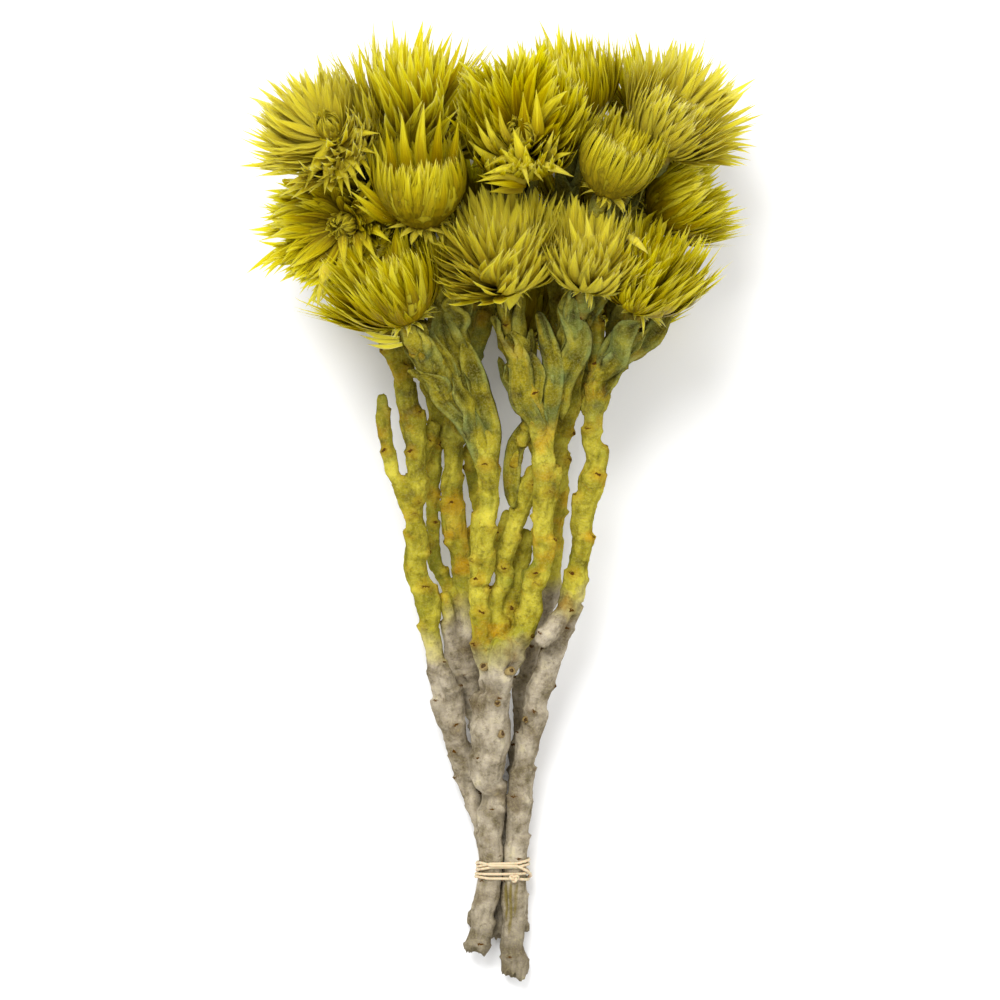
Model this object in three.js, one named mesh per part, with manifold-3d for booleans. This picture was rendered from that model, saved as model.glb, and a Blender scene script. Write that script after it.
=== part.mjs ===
// A tied bunch of dried strawflowers lying on a flat surface: five woolly stems that fork into
// twenty-one flower heads, held together near their cut ends by a wound rubber band.
// Units are millimetres. +Z is up from the surface, +Y runs from the cut ends to the flowers,
// and the origin lies on the surface under the middle of the bunch.
import * as THREE from "three";
import { mergeVertices } from "three/addons/utils/BufferGeometryUtils.js";
import Module from "manifold-3d";

const wasm = await Module();
wasm.setup();

// ---------- driving dimensions ----------
const CLEARANCE = 0.35; // air left between neighbouring pieces
const SEAT = 0.8; // how much is pressed flat where the bunch lies on the surface
const SINK = 1.0; // how far below the surface a low bract would reach if it weren't pressed flat
const HEAD_REACH = 16; // how far along its axis a flower head's middle lies
const HEAD_RADIUS = 21; // half the width of a head of size 1
const BRACT_WIDTH = 5.0;
const BRACT_KEEL = 1.0; // how far the bract's outer ridge stands out
const TUCK = 0.12; // how far, in radians, a bract that has no room is turned up against the head
const REACHES = [1, 0.85, 0.7, 0.55, 0.4, 0.28, 0.15, 0.05]; // shares of its length a bract may keep
const SCALE_REACH = 0.2; // below this share it is a mere scale
const CORE_FOOT = 3.6; // the solid middle of a head: radius of its foot
const CORE_TOP = 4.4; // radius where the last bracts stand
const CORE_SWELL = 3.6; // how far its side swells out between them
const CORE_HEIGHT = 13;
const DOME = 1.4; // the low dome on top of it
const LEAF_WIDTH = 7.4;
const LEAF_THICK = 1.9;
const LEAF_LENGTH = 25;
const LEAF_LIFT = 6; // how far a leaf's tip stands off its shoot
const LEAF_BACK = [28, 34, 41, 49]; // how far below the head each leaf is rooted
const PLAIN_LEAVES = 2; // a plain head at the back has this many of them
const LEAF_LOWEST = 0.08; // share of the shoot below which no leaf is rooted
const LEAF_HUG = 20; // stretch of shoot whose course a leaf follows
const LEAF_TAPER = 0.06; // each lower leaf is this share shorter
const LEAF_TURN = 2.4; // radians round the shoot from leaf to leaf
const LEAF_START = 1.3; // radians round the shoot where the next shoot's first leaf stands
const LEAF_TRIES = 9;
const LEAF_SHIFT = 0.7; // radians that a leaf without room is turned on
const BROAD_SHARES = [[0, 0.5], [0.35, 0.9], [0.68, 1]]; // place along a broad leaf, share of its width
const FORK_CONE = 7; // how far the trunk runs on, narrowing, between its shoots
const SHOOT_STEP = 20; // from one old leaf base to the next
const NODE_SWELL = 0.07; // how much the shoot swells and shrinks between them
const BAND_TURNS = 3;
const BAND_WIDTH = 1.5;
const BAND_THICK = 1.0;
const BAND_Y = -130; // the tie's place along the stems
const BAND_PITCH = 2.3;
const BAND_SECTION = [[1, 0], [0.4, 1], [-0.8, 0.7], [-0.8, -0.7], [0.4, -1]];

const GREEN_GOLD = { color: 0xb5a81c, roughness: 0.5, metalness: 0 };
const OLIVE_WOOL = { color: 0x9a9530, roughness: 0.95, metalness: 0 };
const LATEX = { color: 0xe6cfa4, roughness: 0.6, metalness: 0 };

const point = (p) => new THREE.Vector3(p[0], p[1], p[2]);

// How many rows of bracts a head has and how many bracts in each: the hidden ones are plainer.
const FULL = { rows: 5, petals: 11 };
const PLAIN = { rows: 4, petals: 8 };

// Each flower head: where its base sits, where it faces, its size and how far it has opened
// (0 is a goblet, 1 a wide fan).
const HEADS = [
  { ...FULL, name: "head_a", base: [-56.8, 129.4, 62], faces: [-0.3, 0.25, 0.92], size: 1.0, open: 0.75 },
  { ...FULL, name: "head_b", base: [-32, 128, 52], faces: [0.05, 0.97, 0.2], size: 1.08, open: 0.75 },
  { ...FULL, name: "head_c", base: [-27.5, 94, 78], faces: [-0.05, 0.86, 0.5], size: 1.12, open: 0.15 },
  { ...FULL, name: "head_d", base: [-53.8, 94.7, 52], faces: [-0.4, 0.1, 0.91], size: 1.05, open: 0.7 },
  { ...FULL, name: "head_e", base: [-33, 61, 76], faces: [-0.33, 0.88, 0.35], size: 1.08, open: 0.35 },
  { ...FULL, name: "head_f", base: [6.3, 122.9, 66], faces: [0, 0.35, 0.94], size: 1.0, open: 0.6 },
  { ...FULL, name: "head_g", base: [25, 135, 58], faces: [-0.15, 0.95, 0.3], size: 1.05, open: 0.45 },
  { ...FULL, name: "head_i", base: [53.6, 127.8, 62], faces: [0.46, 0.64, 0.61], size: 1.05, open: 0.7 },
  { ...PLAIN, name: "head_j", base: [53, 133, 33], faces: [0.1, 0.97, 0.1], size: 0.85, open: 0.5 },
  { ...FULL, name: "head_k", base: [34.4, 108, 80], faces: [0.35, 0.8, 0.48], size: 0.95, open: 0.15 },
  { ...FULL, name: "head_l", base: [51.5, 100.5, 50], faces: [0.85, 0.45, 0.25], size: 0.95, open: 0.4 },
  { ...FULL, name: "head_m", base: [28.5, 81.5, 80.5], faces: [0.12, 0.5, 0.85], size: 0.86, open: 0.5 },
  { ...FULL, name: "head_o", base: [0, 72.5, 75], faces: [-0.1, 0.8, 0.6], size: 1.06, open: 0.8 },
  { ...FULL, name: "head_p", base: [46.4, 68, 70], faces: [0.45, 0.8, 0.4], size: 1.04, open: 0.5 },
  { ...PLAIN, name: "head_q", base: [0, 120, 40], faces: [-0.15, 0.95, 0.25], size: 0.95, open: 0.6 },
  { ...PLAIN, name: "head_r", base: [-36, 101, 17], faces: [-0.45, 0.89, 0], size: 1.0, open: 0.6 },
  { ...PLAIN, name: "head_s", base: [-10, 96, 16], faces: [-0.05, 0.98, 0.05], size: 1.0, open: 0.5 },
  { ...PLAIN, name: "head_t", base: [32, 98, 17], faces: [0.3, 0.93, 0], size: 1.0, open: 0.6 },
  { ...PLAIN, name: "head_u", base: [-31, 66, 19.5], faces: [-0.65, 0.7, -0.15], size: 0.95, open: 0.5 },
  { ...PLAIN, name: "head_v", base: [35, 66, 20], faces: [0.6, 0.7, -0.15], size: 0.95, open: 0.5 },
  { ...PLAIN, name: "head_w", base: [8, 58, 22], faces: [0.05, 0.85, -0.2], size: 0.9, open: 0.4 },
];

// Each stem: a trunk from its cut end up to the fork, then shoots that leave the trunk at one of its
// points and pass through a few more to a head, or end blunt as a snapped stub. Some stubs start on
// another shoot, at a point of their own. Broad leaves stand free of the wood and follow their own
// course to the tip. A trunk point is [x, y, z, radius].
const STEMS = [
  {
    name: "stem_front_left",
    trunk: [
      [-8.6, -158.6, 9.0, 4.5], [-6.2, -143, 11.2, 4.3], [-4.4, -130, 12.3, 4.2], [-4.2, -118, 14.0, 4.4],
      [-3.9, -103, 18.2, 4.9], [-4, -84, 24.5, 6.4], [-4, -67, 31.0, 7.6],
    ],
    shoots: [
      {
        from: 6,
        to: "head_e",
        via: [[-8, -46, 38], [-8.4, -22, 46], [-5.2, 4, 53], [-5.4, 14, 56], [-12.5, 30, 60], [-23.5, 46.5, 68]],
      },
      {
        from: 6,
        to: "head_o",
        via: [[6.5, -45, 40], [11.2, -24, 45], [15.2, 0, 52], [14.8, 14, 56], [11.6, 32, 61], [6.5, 47, 66], [3, 60, 69]],
      },
      {
        from: 6,
        to: "head_m",
        via: [[7, -44, 40], [12, -20, 46], [15.6, 2, 51], [17, 32, 59], [20.5, 49, 62], [23.5, 67, 67]],
      },
      {
        from: 6,
        to: "head_c",
        via: [[-7.4, -44, 38], [-7.6, -12, 48], [-4.4, 14, 54], [-9, 34, 56], [-14.5, 58, 60], [-21, 82, 68]],
      },
      { from: 5, stub: [[-1.5, -58, 38], [0.5, -47, 43.5]], radius: 4.2 },
      { from: 6, stub: [[-3, -44, 36], [-0.6, -25, 40], [3.5, -10, 43], [8, 2, 46], [12, 13, 50]], radius: 3.1 },
      { start: [-1.2, -28, 39.5], stub: [[-2.2, -15, 38.5], [1.2, -1.5, 39]], radius: 2.5 },
      { start: [0, -52, 34], stub: [[5, -28, 34], [7, -16, 35], [9.3, -9, 36]], radius: 2.9 },
      { start: [11.5, 33, 60], stub: [[6, 22, 51], [3.6, 12, 48], [3.8, 0, 47]], radius: 3 },
    ],
    leaves: [
      { course: [[-6, 12, 56], [-12.5, 29, 63], [-20, 40, 68], [-28, 49, 72]], width: 8.5 },
      { course: [[-4, 16, 55], [-6, 30, 59.5], [-10, 43, 62.5], [-13.5, 58, 64]], width: 9 },
      { course: [[-9, 32, 56], [-16, 48, 60.5], [-19.5, 61, 62.5], [-20.5, 73, 64]], width: 8 },
      { course: [[11, 28, 62.5], [5.5, 44, 69], [2, 60, 72.5]], width: 9 },
      { course: [[12.5, 30, 62], [12, 42, 67.5], [9.8, 54, 70]], width: 4.5 },
      { course: [[9, 26, 55], [4, 41, 54], [-1.8, 52, 54]], width: 4.5 },
      { course: [[17, 28, 60], [17.3, 45, 66.5], [14.5, 58, 69], [11.8, 68, 69.5]], width: 7 },
      { course: [[20, 34, 59], [23, 47, 66], [25.5, 58, 71], [19.5, 70, 73]], width: 9.5 },
    ],
  },
  {
    name: "stem_front_right",
    trunk: [
      [2.6, -167.6, 7.4, 4.5], [3.6, -148, 10.2, 4.3], [4.3, -130, 12.2, 4.1], [4.9, -113, 14.9, 4.1],
      [7.4, -89, 20, 4.0], [12, -68, 27, 3.9], [18.6, -47, 33, 3.9], [24.4, -30, 38, 3.8], [28.6, -9, 44, 3.9],
      [31.6, 14, 50, 3.7], [32.2, 34, 55, 3.7],
    ],
    shoots: [
      { from: 10, to: "head_p", via: [[35.5, 48, 60]] },
      { from: 10, to: "head_k", via: [[32, 60, 60], [30, 86, 66]] },
      { from: 10, to: "head_l", via: [[40, 60, 51], [44, 84, 47.5]] },
      { from: 10, to: "head_j", via: [[41, 60, 48], [47, 86, 42], [53, 110, 35]] },
      { from: 7, stub: [[19.5, -40.5, 41.5], [12.5, -49.6, 43.5]], radius: 3 },
      { from: 10, stub: [[40, 50, 49.5], [50, 58, 47.5], [58.6, 72.5, 46]], radius: 3.1 },
    ],
    leaves: [
      { course: [[34, 41, 56], [43, 53, 54.5], [53, 61, 51.5], [59.5, 75, 48]], width: 7 },
      { course: [[33, 42, 58], [36.5, 54, 64], [41, 62.5, 68]], width: 6.5 },
    ],
  },
  {
    name: "stem_left",
    trunk: [
      [-10.5, -150, 3.2, 2.9], [-5.9, -137, 4.8, 2.6], [-5.6, -130, 5.1, 2.6], [-7.4, -117, 6.2, 2.9],
      [-12.2, -100, 9.2, 3.4], [-18.4, -80, 14, 3.7], [-24.2, -55, 20, 3.8], [-28.6, -30, 26, 3.8],
      [-31.6, -8, 31, 3.9], [-31.2, 16, 37, 3.4], [-34.8, 43, 42, 3.8],
    ],
    shoots: [
      { from: 10, to: "head_d", via: [[-43, 68, 42], [-50.5, 88, 43]] },
      { from: 10, to: "head_a", via: [[-42, 74, 41], [-48.5, 103, 43], [-53.6, 121, 50]] },
      { from: 10, to: "head_b", via: [[-36.5, 74, 43], [-33, 102, 43.5]] },
      { from: 8, stub: [[-34.4, 10, 35], [-37.8, 22, 37], [-40.9, 39.4, 39]], radius: 2.8 },
      { from: 8, stub: [[-30, 10, 33], [-27, 20, 33], [-25, 30, 34]], radius: 2.6 },
      { from: 4, stub: [[-15, -80, 18], [-19.2, -58, 24.5]], radius: 2.8 },
    ],
    leaves: [],
  },
  {
    name: "stem_middle",
    trunk: [
      [-2.2, -154, 3.0, 2.9], [-0.6, -142, 4.2, 2.7], [0, -130, 5.4, 2.6], [-1, -118, 6.4, 2.9],
      [-3.6, -102, 8, 3.6], [-7.4, -80, 10.5, 3.9], [-12, -52, 15.5, 4.1], [-16, -22, 21, 4.2],
      [-18.4, 8, 27.5, 4.1], [-18.6, 24, 31.5, 4.0],
    ],
    shoots: [
      { from: 9, to: "head_q", via: [[-12, 54, 37], [-4.5, 84, 37], [-0.8, 105, 37.5]] },
      { from: 9, to: "head_r", via: [[-23.5, 58, 33], [-24.5, 80, 28.5], [-30, 92, 23]] },
      {
        from: 6,
        to: "head_u",
        via: [[-18.6, -33, 17], [-23.8, -18, 20], [-24.8, -4, 23], [-24, 12, 26], [-23.5, 34, 28.5]],
        radius: 2.8,
      },
      { from: 9, to: "head_f", via: [[-8, 55, 46], [0, 85, 50], [5, 108, 52]] },
      { from: 6, to: "head_s", via: [[-10.8, -30, 18], [-10.4, -8, 21.5], [-12.4, 16, 26], [-13, 48, 28], [-12, 76, 22.5]] },
      { from: 5, stub: [[-14.6, -62, 16], [-17.6, -50, 19], [-21.2, -31, 22.5]], radius: 2.6 },
    ],
    leaves: [],
  },
  {
    name: "stem_right",
    trunk: [
      [7.4, -152, 3.2, 2.9], [6.0, -139, 4.7, 2.6], [5.6, -130, 5.1, 2.6], [6.2, -117, 5.9, 2.9],
      [6.6, -101, 8, 3.5], [7, -80, 11.5, 3.7], [10.2, -55, 16.5, 3.8], [16, -28, 23, 3.9],
      [18.2, -2, 29, 3.9], [20, 20, 33.5, 3.8],
    ],
    shoots: [
      { from: 9, to: "head_i", via: [[27.5, 54, 44], [33, 88, 50], [43, 113, 56]] },
      { from: 9, to: "head_g", via: [[20, 54, 43], [19, 86, 47], [22, 114, 52]] },
      { from: 9, to: "head_t", via: [[26, 52, 34], [28.5, 78, 27]] },
      { from: 9, to: "head_v", via: [[28, 44, 31]] },
      { from: 8, to: "head_w", via: [[13.5, 22, 30], [9, 40, 29]] },
    ],
    leaves: [],
  },
];

// ---------- small helpers ----------
// A repeatable random draw between 0 and 1.
function seeded(seed) {
  let state = seed >>> 0;
  return () => {
    state = (state + 0x6d2b79f5) >>> 0;
    let t = Math.imul(state ^ (state >>> 15), 1 | state);
    t = (t + Math.imul(t ^ (t >>> 7), 61 | t)) ^ t;
    return ((t ^ (t >>> 14)) >>> 0) / 4294967296;
  };
}

const mix = (a, b, t) => a + (b - a) * t;
const radians = THREE.MathUtils.degToRad;

// The triangles of a flat outline whose corners run anticlockwise seen from outside.
const fan = (corners) => corners.slice(2).map((corner, i) => [corners[0], corners[i + 1], corner]);

// The triangles between cross-sections of equal count, whose corners run anticlockwise about the way
// forward. A section of one point is a tip, and looped joins the last section to the first.
function sides(sections, looped = false) {
  const triangles = [];
  const spans = looped ? sections.length : sections.length - 1;
  for (let i = 0; i < spans; i++) {
    const near = sections[i];
    const far = sections[(i + 1) % sections.length];
    near.forEach((corner, k) => {
      const next = (k + 1) % near.length;
      if (far.length === 1) {
        triangles.push([corner, near[next], far[0]]);
      } else {
        triangles.push([corner, near[next], far[next]], [corner, far[next], far[k]]);
      }
    });
  }
  return triangles;
}

// The solid that closed triangles wrap.
function solid(triangles) {
  const geometry = new THREE.BufferGeometry();
  const flat = triangles.flatMap((corners) => corners.flatMap((corner) => corner.toArray()));
  geometry.setAttribute("position", new THREE.Float32BufferAttribute(flat, 3));
  const merged = mergeVertices(geometry, 1e-4);
  return new wasm.Manifold(
    new wasm.Mesh({
      numProp: 3,
      vertProperties: merged.getAttribute("position").array,
      triVerts: new Uint32Array(merged.index.array),
    }),
  );
}

// The solid of cross-sections with both ends closed.
function rod(sections) {
  const first = [...sections[0]].reverse();
  return solid([...fan(first), ...sides(sections), ...fan(sections[sections.length - 1])]);
}

// The largest single body of a solid, without the scraps that a cut can leave.
function largest(made) {
  const bodies = made.decompose();
  return bodies.reduce((best, body) => (body.volume() > best.volume() ? body : best), bodies[0]);
}

const touches = (made, others) => others.some((other) => made.intersect(other).volume() > 1e-5);

// A named mesh of a solid, drawn in its own frame and put back in its place.
function placed(name, made, look, place) {
  const mesh = made.getMesh();
  const geometry = new THREE.BufferGeometry();
  geometry.setAttribute("position", new THREE.BufferAttribute(new Float32Array(mesh.vertProperties), 3));
  geometry.setIndex(new THREE.BufferAttribute(new Uint32Array(mesh.triVerts), 1));
  geometry.applyMatrix4(place.clone().invert());
  geometry.computeVertexNormals();
  const piece = new THREE.Mesh(geometry, new THREE.MeshStandardMaterial(look));
  piece.name = name;
  piece.applyMatrix4(place);
  return piece;
}

// A cross-section with corners round a centre, across the axes out and side.
function ring(centre, out, side, radius, count) {
  return Array.from({ length: count }, (_, k) => {
    const angle = (2 * Math.PI * k) / count;
    return centre
      .clone()
      .addScaledVector(out, radius * Math.cos(angle))
      .addScaledVector(side, radius * Math.sin(angle));
  });
}

// Two axes across a way forward: out is the upper one, and side completes them.
function across(forward) {
  const level = new THREE.Vector3().crossVectors(forward, new THREE.Vector3(0, 0, 1)).normalize();
  const out = new THREE.Vector3().crossVectors(level, forward);
  return { out, side: new THREE.Vector3().crossVectors(forward, out) };
}

// ---------- where the heads stand ----------
// A head's own frame: its base at the origin and its axis along Z.
for (const head of HEADS) {
  const axis = point(head.faces).normalize();
  const { out, side } = across(axis);
  head.place = new THREE.Matrix4().makeBasis(out, side, axis).setPosition(point(head.base));
  head.middle = point(head.base).addScaledVector(axis, HEAD_REACH * head.size);
  head.radius = HEAD_RADIUS * head.size;
  head.axis = axis;
}

// The flat walls round a head: where it meets a neighbour each keeps to its own side.
function wallsAround(head) {
  const walls = [{ normal: new THREE.Vector3(0, 0, -1), offset: SINK }];
  for (const other of HEADS) {
    const gap = new THREE.Vector3().subVectors(other.middle, head.middle);
    const distance = gap.length();
    if (other === head || distance > 2 * (head.radius + other.radius)) continue;
    const share = 0.5 + (head.radius ** 2 - other.radius ** 2) / (2 * distance ** 2);
    const normal = gap.divideScalar(distance);
    walls.push({ normal, offset: normal.dot(head.middle) + share * distance - CLEARANCE / 2 });
  }
  return walls;
}

for (const head of HEADS) head.walls = wallsAround(head);

// Draws a point in towards the head's middle, the more so the nearer it comes to a wall.
function drawnIn(p, head, spare) {
  const free = 0.6; // share of the way to the wall that stays as it is
  const way = new THREE.Vector3().subVectors(p, head.middle);
  const far = way.length();
  way.divideScalar(far);
  let limit = Infinity;
  for (const wall of head.walls) {
    const toward = wall.normal.dot(way);
    const room = wall.offset - spare - wall.normal.dot(head.middle);
    if (toward > 0) limit = Math.min(limit, room / toward);
  }
  if (far < free * limit) return p;
  const eased = free + (1 - free) * Math.tanh((far / limit - free) / (1 - free));
  return head.middle.clone().addScaledVector(way, eased * limit);
}

// Presses a corner back to the inside of every wall.
function pressed(p, head) {
  for (let pass = 0; pass < 3; pass++) {
    for (const wall of head.walls) {
      const over = wall.normal.dot(p) - wall.offset;
      if (over > 0) p.addScaledVector(wall.normal, -over);
    }
  }
  return p;
}

// ---------- flower heads ----------
// A corner of the core: level 0 is its foot and the last level its top. Levels stagger by half a step.
function coreCorner(head, level, k) {
  const t = level / head.rows;
  const radius = mix(CORE_FOOT, CORE_TOP, t) + CORE_SWELL * Math.sin(Math.PI * t);
  const angle = (2 * Math.PI * (k + 0.5 * (level % 2))) / head.petals;
  const p = new THREE.Vector3(radius * Math.cos(angle), radius * Math.sin(angle), CORE_HEIGHT * t);
  return p.multiplyScalar(head.size).applyMatrix4(head.place);
}

// The two corners of the next level that stand over corner k of this one.
function cornersOver(head, level, k) {
  const first = level % 2 ? k : k - 1;
  return [coreCorner(head, level + 1, first + 1), coreCorner(head, level + 1, first)];
}

// How the bracts of a row grow: the lean of their lower and upper part from the head's axis, and
// their length. Depth runs from the outermost row (0) to the innermost (1).
function habit(depth, open) {
  return {
    lowLean: radians(mix(mix(64, 22, depth), mix(86, 40, depth), open)),
    highLean: radians(mix(mix(16, -6, depth), mix(54, 12, depth), open)),
    length: mix(18.5, 16, depth) + 7.5 * Math.sin(Math.PI * depth),
  };
}

// One bract's cross-sections: it grows out of the core by its root triangle, is widest where it
// bends up, and ends in a point.
function bract(head, row, k, reach, draw) {
  const depth = row / (head.rows - 1);
  const { lowLean, highLean, length } = habit(depth, head.open);
  const root = [coreCorner(head, row, k), ...cornersOver(head, row, k)];
  const angle = (2 * Math.PI * (k + 0.5 * (row % 2) + 0.22 * (draw() - 0.5))) / head.petals;
  const turned = (x, z) => new THREE.Vector3(x * Math.cos(angle), x * Math.sin(angle), z);
  const away = (lean) => turned(Math.sin(lean), Math.cos(lean)).transformDirection(head.place);
  const whole = reach * length * head.size * mix(0.92, 1.08, draw());
  const turn = (draw() - 0.5) * 0.1 - TUCK * (1 - reach);
  const start = root[1].clone().add(root[2]).multiplyScalar(0.5).lerp(root[0], 0.4);
  const bend = drawnIn(start.clone().addScaledVector(away(lowLean + turn), 0.45 * whole), head, 1.2);
  const tip = drawnIn(bend.clone().addScaledVector(away(highLean + turn), 0.55 * whole), head, 0.6);
  if (reach < SCALE_REACH) return [root, [bend]];
  const forward = new THREE.Vector3().subVectors(tip, start).normalize();
  const outward = turned(1, 0).transformDirection(head.place);
  const side = new THREE.Vector3().crossVectors(forward, outward).normalize();
  const ridge = new THREE.Vector3().crossVectors(side, forward).multiplyScalar(BRACT_KEEL / 2);
  const half = side.multiplyScalar((BRACT_WIDTH * mix(1, 0.75, depth) * mix(0.5, 1, reach)) / 2);
  const corners = [
    bend.clone().add(ridge),
    bend.clone().sub(ridge).add(half),
    bend.clone().sub(ridge).sub(half),
  ];
  return [root, corners.map((corner) => pressed(corner, head)), [tip]];
}

// The body of a bract, a little swollen where it bends, so that its neighbours keep some air.
function swollen([root, corners, tip]) {
  if (!tip) return rod([root, corners]);
  const centre = new THREE.Vector3().add(corners[0]).add(corners[1]).add(corners[2]).divideScalar(3);
  return rod([root, corners.map((corner) => centre.clone().lerp(corner, 1.15)), tip]);
}

// Grows a bract, held shorter where it would run into what stands there or the scales still to come.
function fitted(head, row, k, standing, pending, draw) {
  for (const reach of REACHES) {
    const sections = bract(head, row, k, reach, draw);
    const body = swollen(sections);
    if (!touches(body, standing) && !touches(body, pending)) {
      standing.push(body);
      return sections;
    }
  }
  throw new Error("no room for a bract on " + head.name);
}

function coreTriangles(head) {
  const top = new THREE.Vector3(0, 0, CORE_HEIGHT + DOME).multiplyScalar(head.size).applyMatrix4(head.place);
  const level = (n) => Array.from({ length: head.petals }, (_, k) => coreCorner(head, n, k));
  const between = [];
  for (let row = 0; row < head.rows; row++) {
    for (let k = 0; k < head.petals; k++) {
      const over = coreCorner(head, row + 1, row % 2 ? k + 1 : k);
      between.push([coreCorner(head, row, k), coreCorner(head, row, k + 1), over]);
    }
  }
  return [...fan(level(0).reverse()), ...between, ...sides([level(head.rows), [top]])];
}

function rootTriangles(head) {
  const roots = [];
  for (let row = 0; row < head.rows; row++) {
    for (let k = 0; k < head.petals; k++) {
      roots.push([coreCorner(head, row, k), ...cornersOver(head, row, k)]);
    }
  }
  return roots;
}

// A whole head: its core, with a bract on every root, and what would reach below the surface
// pressed flat.
function flowerHead(head, index, stems) {
  const draw = seeded(101 + 17 * index);
  const core = coreTriangles(head);
  const closed = solid([...core, ...rootTriangles(head)]);
  const standing = [...stems, closed];
  const spots = [];
  for (let row = 0; row < head.rows; row++) {
    for (let k = 0; k < head.petals; k++) spots.push([row, k]);
  }
  const shortest = REACHES[REACHES.length - 1];
  const pending = spots.map(([row, k]) => rod(bract(head, row, k, shortest, () => 0.5)));
  const triangles = [...core];
  for (const [row, k] of spots) {
    pending.shift();
    triangles.push(...sides(fitted(head, row, k, standing, pending, draw)));
  }
  const seated = solid(triangles).trimByPlane([0, 0, 1], SEAT);
  return placed(head.name, largest(seated), GREEN_GOLD, head.place);
}

// ---------- stems ----------
// A tube through points with a radius at each, knobbly where old leaves have dropped.
function shoot(points, radii, grow) {
  const curve = new THREE.CatmullRomCurve3(points, false, "centripetal");
  const steps = Math.max(2, Math.round(curve.getLength() / SHOOT_STEP));
  const frames = curve.computeFrenetFrames(steps, false);
  const sections = [];
  for (let i = 0; i <= steps; i++) {
    const place = (i / steps) * (radii.length - 1);
    const low = Math.min(radii.length - 2, Math.floor(place));
    const swell = i > 0 && i < steps ? 1 + NODE_SWELL * (i % 2 ? 1 : -1) : 1;
    const radius = mix(radii[low], radii[low + 1], place - low) * swell + grow;
    sections.push(ring(curve.getPointAt(i / steps), frames.normals[i], frames.binormals[i], radius, 5));
  }
  return rod(sections);
}

// The trunk keeps its given points, so that the tied cross-section stays as packed, and ends in a
// cone inside the fork.
function trunk(rows, grow) {
  const sections = rows.map((row, i) => {
    const before = point(rows[Math.max(0, i - 1)]);
    const after = point(rows[Math.min(rows.length - 1, i + 1)]);
    const { out, side } = across(after.sub(before).normalize());
    return ring(point(row), out, side, row[3] + grow, 7);
  });
  const end = point(rows[rows.length - 1]);
  const ahead = new THREE.Vector3().subVectors(end, point(rows[rows.length - 2])).normalize();
  return rod([...sections, [end.addScaledVector(ahead, FORK_CONE + grow)]]);
}

// The course of a shoot from the trunk to a head's foot, which it meets square on.
function courseOf(stem, item) {
  const start = point(item.start ?? stem.trunk[item.from]);
  if (item.stub) return [start, ...item.stub.map(point)];
  const head = HEADS.find((h) => h.name === item.to);
  const foot = point(head.base).addScaledVector(head.axis, -CLEARANCE);
  const below = point(head.base).addScaledVector(head.axis, -7);
  return [start, ...item.via.map(point), below, foot];
}

// A thick felted leaf that hugs the shoot from its root and lifts off towards its tip.
function leaf({ root, forward, outward, length }, grow) {
  const side = new THREE.Vector3().crossVectors(forward, outward).normalize();
  const section = (along, lift, width, thick) => {
    const centre = root.clone().addScaledVector(forward, along * length).addScaledVector(outward, lift);
    return [
      centre.clone().addScaledVector(outward, thick / 2 + grow),
      centre.clone().addScaledVector(side, width / 2 + grow),
      centre.clone().addScaledVector(outward, -thick / 2 - grow),
      centre.clone().addScaledVector(side, -width / 2 - grow),
    ];
  };
  const tip = root.clone().addScaledVector(forward, length + grow).addScaledVector(outward, LEAF_LIFT);
  return rod([
    section(0, 0.8, LEAF_WIDTH * 0.6, LEAF_THICK),
    section(0.55, LEAF_LIFT * 0.6, LEAF_WIDTH, LEAF_THICK),
    [tip],
  ]);
}

// A broad leaf that stands free: it follows its own course out of a shoot, its flat side up.
function broadLeaf({ course, width }, grow) {
  const curve = new THREE.CatmullRomCurve3(course.map(point), false, "centripetal");
  const sections = BROAD_SHARES.map(([t, share]) => {
    const { out, side } = across(curve.getTangentAt(t));
    const centre = curve.getPointAt(t);
    return [
      centre.clone().addScaledVector(out, LEAF_THICK / 2 + grow),
      centre.clone().addScaledVector(side, (share * width) / 2 + grow),
      centre.clone().addScaledVector(out, -LEAF_THICK / 2 - grow),
      centre.clone().addScaledVector(side, (-share * width) / 2 - grow),
    ];
  });
  const tip = curve.getPointAt(1).addScaledVector(curve.getTangentAt(1), grow);
  return rod([...sections, [tip]]);
}

// The room in the middle of a head that leaves stay out of.
function hub(head) {
  const level = (z, radius) => {
    const centre = point(head.base).addScaledVector(head.axis, z * head.size);
    const { out, side } = across(head.axis);
    return ring(centre, out, side, radius * head.size, 8);
  };
  return rod([level(-0.4, 5), level(3, 9), level(12, 14), level(24, 10)]);
}

// The places that leaf k of a shoot may take: rooted on the shoot, turned to one side after another.
function leafChoices(curve, k, first) {
  const total = curve.getLength();
  const t = Math.max(LEAF_LOWEST, 1 - LEAF_BACK[k] / total);
  const root = curve.getPointAt(t);
  const forward = curve.getPointAt(Math.min(1, t + LEAF_HUG / total)).sub(root).normalize();
  const { out, side } = across(forward);
  const length = LEAF_LENGTH * (1 - LEAF_TAPER * k);
  return Array.from({ length: LEAF_TRIES }, (_, turn) => {
    const angle = first + LEAF_TURN * k + LEAF_SHIFT * turn;
    const outward = out.clone().multiplyScalar(Math.cos(angle)).addScaledVector(side, Math.sin(angle));
    return { root, forward, outward, length };
  });
}

// The leaves of a stem: some below each head, each turned to the first free side.
function leafPlaces(stem, obstacles) {
  const places = [];
  for (const [index, item] of stem.shoots.entries()) {
    if (item.stub) continue;
    const curve = new THREE.CatmullRomCurve3(courseOf(stem, item), false, "centripetal");
    const head = HEADS.find((h) => h.name === item.to);
    const count = head.rows === PLAIN.rows ? PLAIN_LEAVES : LEAF_BACK.length;
    for (let k = 0; k < count; k++) {
      const choices = leafChoices(curve, k, LEAF_START * index);
      const free = choices.find((place) => !touches(leaf(place, CLEARANCE), obstacles));
      if (!free) continue;
      places.push(free);
      obstacles.push(leaf(free, CLEARANCE));
    }
  }
  return places;
}

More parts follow.
